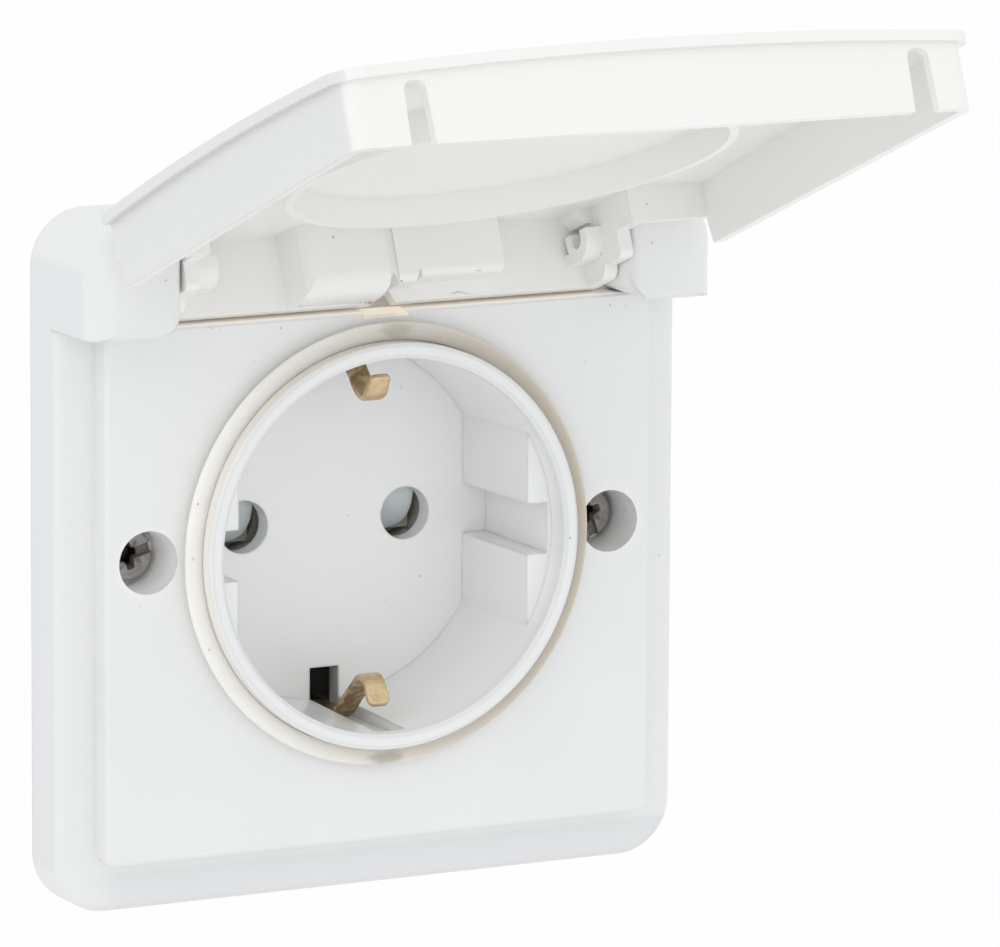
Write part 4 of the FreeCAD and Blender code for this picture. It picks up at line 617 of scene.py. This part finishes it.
# A rounded oblong carried along the strip's middle line in the plane x = 0: points = line + side * thickness, with
# a width that narrows at both tips and swells into an eye at the back.
def makeEarthStrip():
    s = stripOf
    lower, lowerFoot = hookLine()
    mirror = np.array([1.0, -1.0])
    upper, upperFoot = lower * mirror, lowerFoot * mirror
    flat = s["innerZ"] + s["thick"] / 2
    leg, foot, back = s["legRound"], s["footRound"], s["backRound"]
    middle = roundedPath([(*lower[-1], leg), (*lowerFoot, foot), (s["back"], -flat, back), (s["back"], flat, back),
                          (*upperFoot, foot), (*upper[-1], leg)])
    line = np.concatenate([lower[:-1], middle, upper[::-1][1:]])
    line = line[np.concatenate([[True], np.linalg.norm(np.diff(line, axis=0), axis=1) > 1e-4])]
    lengths = np.concatenate([[0], np.cumsum(np.linalg.norm(np.diff(line, axis=0), axis=1))])
    at = np.unique(np.concatenate([lengths, np.linspace(0, lengths[-1], s["rings"])]))
    line = np.stack([np.interp(at, lengths, line[:, k]) for k in (0, 1)], axis=-1)
    ahead = np.gradient(line, axis=0)
    ahead /= np.linalg.norm(ahead, axis=1)[:, None]
    side = np.stack([-ahead[:, 1], ahead[:, 0]], axis=-1)
    fromEnd = np.minimum(at, at[-1] - at)

    def narrowed(reach, share):  # 1 along the strip, less within the reach of a tip
        return np.sqrt(np.clip(1 - (1 - np.clip(fromEnd / reach, 0, 1)) ** 2 * share, 0, 1))

    wide = s["half"] * narrowed(*s["tipWide"])
    wide += s["wave"][0] * np.sin(at * s["wave"][1]) * smoothStep(fromEnd, 0.2, 1.0)
    atEye = (line[:, 0] > s["back"] - 0.1) & (np.abs(line[:, 1]) < s["eye"])
    wide = np.where(atEye, np.maximum(wide, np.sqrt(np.clip(s["eye"] ** 2 - line[:, 1] ** 2, 0, None))), wide)
    thick = s["thick"] / 2 * narrowed(*s["tipThin"])
    angle = np.linspace(0, 2 * np.pi, s["section"], endpoint=False)
    oblongX, oblongY = (np.sign(f(angle)) * np.abs(f(angle)) ** p for f, p in zip((np.cos, np.sin), s["square"]))
    points = np.zeros((len(line), s["section"], 3))
    points[..., 0] = wide[:, None] * oblongX
    points[..., 1:] = line[:, None] + side[:, None] * (thick[:, None] * oblongY)[..., None]
    last = (len(line) - 1) * s["section"]
    faces = [tuple(f) for f in gridFaces(len(line), s["section"])]
    faces += [tuple(range(s["section"])), tuple(last + k for k in range(s["section"]))[::-1]]
    finish = Finish("springBrass")
    blotch = finish.noise(0.7, 4.0, 0.6)
    brushed = finish.noise(2.0, 3.0, 0.6, finish.stretched(0.35, 3.0, 3.0))
    colour = finish.mix(blotch.between(0.3, 0.75), (0.70, 0.54, 0.33), (0.52, 0.37, 0.20))
    colour = finish.mix(brushed.between(0.35, 0.8) * 0.4, colour, (0.86, 0.72, 0.50))
    # painted shade: the faces turned to the insert's floor, deeper in, are painted darker and browner in blotches
    blotchyShade = finish.y.between(-6.2, -3.4) * finish.noise(1.1, 3.0).between(0.3, 0.6)
    colour = finish.mix(blotchyShade * 0.75, colour, (0.20, 0.12, 0.06))
    brass = finish.done(Base_Color=colour, Roughness=0.36 + (brushed - 0.5) * 0.25, Metallic=0.9,
                        Normal=finish.bump(brushed + blotch, 0.35, 0.015))
    makePiece("earthStrip", points, faces, brass, "earth_bracket")


makeEarthStrip()
print("earth strip made")

springOf = {"x": -0.65, "y": 8.43, "radius": 0.95, "wire": 0.16, "low": 4.22, "high": 13.58, "turns": 9.0,
            "closed": 1.2, "pace": 0.18, "keep": 0.463, "steps": 520, "section": 10}


# a round wire carried along a helix about an upright line, whose end turns close up
def makeSpring():
    s = springOf
    share = np.linspace(0, 1, s["steps"])
    angle = share * s["turns"] * 2 * np.pi
    ends = s["closed"] / s["turns"]
    near, far = ends * 0.6, ends * 1.2
    loose = smoothStep(share, near, far) * (1 - smoothStep(share, 1 - far, 1 - near))
    pace = s["pace"] + (1 - s["pace"]) * loose
    climb = np.concatenate([[0], np.cumsum((pace[1:] + pace[:-1]) / 2)])
    height = s["low"] + s["wire"] + climb / climb[-1] * (s["high"] - s["low"] - 2 * s["wire"])
    line = np.stack([s["x"] + s["radius"] * np.cos(angle), s["y"] + s["radius"] * np.sin(angle), height], axis=-1)
    ahead = np.gradient(line, axis=0)
    ahead /= np.linalg.norm(ahead, axis=1)[:, None]
    outward = np.stack([np.cos(angle), np.sin(angle), 0 * angle], axis=-1)
    upward = np.cross(ahead, outward)
    around = np.linspace(0, 2 * np.pi, s["section"], endpoint=False)[None, :, None]
    points = line[:, None] + s["wire"] * (outward[:, None] * np.cos(around) + upward[:, None] * np.sin(around))
    faces = [tuple(f[::-1]) for f in gridFaces(s["steps"], s["section"])]
    last = (s["steps"] - 1) * s["section"]
    faces += [tuple(range(s["section"]))[::-1], tuple(last + k for k in range(s["section"]))]
    finish = Finish("springWire")
    fine = finish.noise(5.0, 3.0)
    colour = finish.mix(fine.between(0.3, 0.7), (0.62, 0.62, 0.63), (0.45, 0.45, 0.46))
    wire = finish.done(Base_Color=colour, Roughness=0.25 + fine * 0.15, Metallic=1.0)
    coil = makePiece("shutterCoil", points, faces, wire, "shutter_spring")
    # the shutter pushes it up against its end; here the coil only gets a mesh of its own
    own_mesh(coil)


makeSpring()
print("shutter spring made")

shutterOf = {"pads": (-10.15, 8.85), "half": 3.0, "middle": 0.7, "top": 4.2, "front": 7.48, "rampTop": 1.6,
             "slope": 1 / 3, "step": 8.95, "back": 9.38, "round": 0.22, "bulge": 0.22, "arc": 48, "side": 10,
             "rows": 7, "rim": 0.05, "bar": ((7.6, 9.2), (2.2, 4.1)), "shadedStepY": (8.86, 8.92)}


# Each pad is a row of outlines in x and z, counted from the middle of its face: the face slopes back below its
# top, y = front + slope * (rampTop - z), its rim is round, and a square step behind it fills the pad's corners.
def makeShutter():
    s = shutterOf
    half, middle, top = s["half"], s["middle"], s["top"]
    angle = np.radians(np.linspace(180, 360, s["arc"]))
    rise = np.linspace(0, 1, s["side"])[1:, None]

    def outline(inset, square):
        r = half - inset
        reach = np.maximum(np.abs(np.cos(angle)), np.abs(np.sin(angle))) ** (1.0 if square else s["bulge"])
        low = np.stack([r * np.cos(angle) / reach, middle + r * np.sin(angle) / reach], axis=-1)
        corners = np.array([(r, middle), (r, top - inset), (-r, top - inset), (-r, middle)])
        sides = [a + (b - a) * rise for a, b in zip(corners, corners[1:])]
        return np.concatenate([low, *sides])[:-1]

    def faceY(z):
        return s["front"] + s["slope"] * np.clip(s["rampTop"] - z, 0, None)

    heart = np.array([0.0, 1.0])
    rows = []
    for share in np.linspace(0, 1, s["rows"]):
        flat = heart + (outline(s["round"], False) - heart) * share
        rows.append((flat, faceY(flat[:, 1])))
    for turn in np.radians((30, 60, 90)):
        flat = outline(s["round"] * (1 - math.sin(turn)), False)
        rows.append((flat, np.minimum(faceY(flat[:, 1]) + s["round"] * (1 - math.cos(turn)), s["step"])))
    square = outline(0.0, True)
    rows += [(outline(0.0, False), s["step"]), (outline(s["rim"], True), s["step"]), (square, s["step"] + s["rim"]),
             (square, s["back"]), (heart + square * 0, s["back"])]
    pad = np.array([np.stack([flat[:, 0], y + 0 * flat[:, 0], flat[:, 1]], axis=-1) for flat, y in rows])
    quads = gridFaces(*pad.shape[:2])
    points = [pad.reshape(-1, 3) + (x, 0, 0) for x in s["pads"]]
    (near, far), (low, high) = s["bar"]
    ends = [(s["pads"][0], low), (s["pads"][1], low), (s["pads"][1], high), (s["pads"][0], high)]
    points.append([(x, y, z) for y in (near, far) for x, z in ends])
    count = len(points[0])
    bar = np.array([(0, 1, 2, 3), (7, 6, 5, 4), (0, 4, 5, 1), (1, 5, 6, 2), (2, 6, 7, 3), (3, 7, 4, 0)])
    faces = np.concatenate([quads, quads + count, bar + 2 * count])
    finish = Finish("shutterPlastic")
    cloud, fine = finish.noise(0.4, 3.0), finish.noise(3.0, 3.0)
    colour = finish.mix(cloud.between(0.35, 0.7), (0.72, 0.775, 0.79), (0.65, 0.71, 0.735))
    # painted shade: the step behind each pad's face is a dark olive
    colour = finish.mix(finish.y.between(*s["shadedStepY"]), colour, (0.60, 0.58, 0.51))
    plastic = finish.done(Base_Color=colour, Roughness=0.4 + (fine - 0.5) * 0.15,
                          Normal=finish.bump(fine, 0.3, 0.005), Subsurface_Weight=0.3,
                          Subsurface_Radius=(0.9, 1.0, 1.0), Subsurface_Scale=0.8 * mm)
    makePiece("shutterSlide", np.concatenate(points), faces, plastic, "shutter",
              "shutter_body")


makeShutter()
print("shutter made")

insideOf = {"black": ((0.014, 0.014, 0.0145), (0.010, 0.010, 0.0105)), "scuff": (0.025, 0.025, 0.026),
            "pocket": (0.55, 0.535, 0.465), "pocketNearX": (4.5, 5.5), "pocketFarX": (15.0, 16.0),
            "pocketY": (13.5, 14.5), "pocketZ": (5.0, 5.6), "brass": ((0.72, 0.54, 0.27), (0.58, 0.42, 0.19)),
            "shadedFrontY": (11.0, 12.5), "shadedFront": (0.30, 0.28, 0.225),
            "spangle": ((0.50, 0.51, 0.52), (0.66, 0.67, 0.68)),
            "foam": ((0.03, 0.03, 0.03), (0.10, 0.10, 0.10)), "pin": ((0.58, 0.58, 0.59), (0.44, 0.44, 0.45))}


# one finish for each CAD piece that stays: the base, the contacts, the yoke, the seal and the hinge pins
def dressInside():
    s = insideOf
    finish = Finish("basePlastic")
    cloud, fine = finish.noise(0.15, 3.0), finish.noise(1.4, 4.0, 0.6)
    colour = finish.mix(cloud.between(0.35, 0.7), *s["black"])
    colour = finish.mix(fine.between(0.5, 0.8) * 0.3, colour, s["scuff"])
    # painted shade: the pocket round the shutter is painted a dull olive grey, the tone of the shaded gap round the
    # pads
    wide = finish.x.size()
    pocket = (1.0 - finish.y.between(*s["pocketY"])) * (1.0 - finish.z.size().between(*s["pocketZ"]))
    pocket = pocket * wide.between(*s["pocketNearX"]) * (1.0 - wide.between(*s["pocketFarX"]))
    colour = finish.mix(pocket, colour, s["pocket"])
    wear(finish.done(Base_Color=colour, Roughness=0.5 + (fine - 0.5) * 0.2, Specular_IOR_Level=0.15,
                     Normal=finish.bump(fine, 0.4, 0.02, 0.3)), "contact_base")
    finish = Finish("contactBrass")
    blotch, fine = finish.noise(0.6, 4.0, 0.6), finish.noise(6.0, 3.0)
    rim = 1.0 - finish.y.between(*s["shadedFrontY"])  # painted shade: dark and not metallic at the front ends, seen down the pin holes
    colour = finish.mix(rim, finish.mix(blotch.between(0.3, 0.7), *s["brass"]), s["shadedFront"])
    wear(finish.done(Base_Color=colour, Roughness=0.3 + (fine - 0.5) * 0.2, Metallic=1.0 - rim,
                     Normal=finish.bump(fine, 0.3, 0.006, 0.12)), "live_contact", "neutral_contact")
    finish = Finish("yokeSteel")
    grey = finish.node("ShaderNodeRGBToBW", {}, {0: finish.cells(0.35, "Color")})
    fine = finish.noise(4.0, 3.0)
    wear(finish.done(Base_Color=finish.mix(grey.between(0.2, 0.8), *s["spangle"]), Metallic=1.0,
                     Roughness=0.36 + (grey - 0.5) * 0.2 + (fine - 0.5) * 0.1,
                     Normal=finish.bump(grey + fine, 0.2, 0.008, 0.1)), "support_yoke")
    finish = Finish("sealFoam")
    pores, cloud = finish.cells(2.2), finish.noise(0.3, 3.0)
    wear(finish.done(Base_Color=finish.mix(pores.between(0.1, 0.5), *s["foam"]),
                     Roughness=0.85 + (cloud - 0.5) * 0.2, Normal=finish.bump(pores, 0.6, 0.06)), "wall_seal")
    finish = Finish("pinSteel")
    lathe = finish.noise(3.0, 3.0, 0.5, finish.stretched(8.0, 0.4, 0.4))
    wear(finish.done(Base_Color=finish.mix(lathe.between(0.3, 0.7), *s["pin"]), Roughness=0.22 + lathe * 0.15,
                     Metallic=1.0, Normal=finish.bump(lathe, 0.2, 0.004, 0.1)), "hinge_pin_left", "hinge_pin_right")


dressInside()
print("inner pieces dressed")

# places in metres, power in watts; the share is how much of the floor is plain white to the camera
roomOf = {"floor": -0.14, "half": 3.0, "sky": 0.93, "share": 0.92, "skyColour": (0.985, 0.995, 1.0),
          "floorColours": ((0.93, 0.93, 0.93), (0.95, 0.95, 0.95)), "aim": (0, -0.02, 0.01),
          "lamps": {"key": ((-0.9, -0.55, 0.6), 0.7, 0.9), "fill": ((0.8, -0.7, 0.2), 0.8, 0.15),
                    "low": ((-0.1, -0.8, -0.05), 0.7, 0.4)}}


def makeRoom():
    s = roomOf
    world = bpy.data.worlds.new("studio")
    bpy.context.scene.world = world
    sky = Tree(world)
    soft = sky.node("ShaderNodeBackground", {}, {0: s["skyColour"], 1: s["sky"]})
    sky.node("ShaderNodeOutputWorld", {}, {0: sky.whiteSeen(soft, 1.0)})
    # the floor lies well below a thing that hangs on a wall
    mesh = bpy.data.meshes.new("floor")
    corners = np.array([(-1, -1, 0), (1, -1, 0), (1, 1, 0), (-1, 1, 0)], float) * s["half"] + (0, 0, s["floor"])
    mesh.from_pydata(corners.tolist(), [], [(0, 1, 2, 3)])
    floor = bpy.data.objects.new("floor", mesh)
    bpy.context.scene.collection.objects.link(floor)
    pale = Finish("paleFloor")
    matt = pale.node("ShaderNodeBsdfDiffuse", {}, {0: pale.mix(pale.noise(0.004, 3.0), *s["floorColours"])})
    pale.node("ShaderNodeOutputMaterial", {}, {0: pale.whiteSeen(matt, s["share"])})
    mesh.materials.append(pale.material)
    for name, (place, size, power) in s["lamps"].items():
        lamp = bpy.data.lights.new(name, "AREA")
        lamp.size, lamp.energy = size, power
        holder = bpy.data.objects.new(name, lamp)
        bpy.context.scene.collection.objects.link(holder)
        holder.location = place
        holder.rotation_mode = "QUATERNION"
        holder.rotation_quaternion = (Vector(s["aim"]) - Vector(place)).to_track_quat("-Z", "Y")


makeRoom()
bpy.context.scene.view_settings.view_transform = "Standard"
print("room lit")
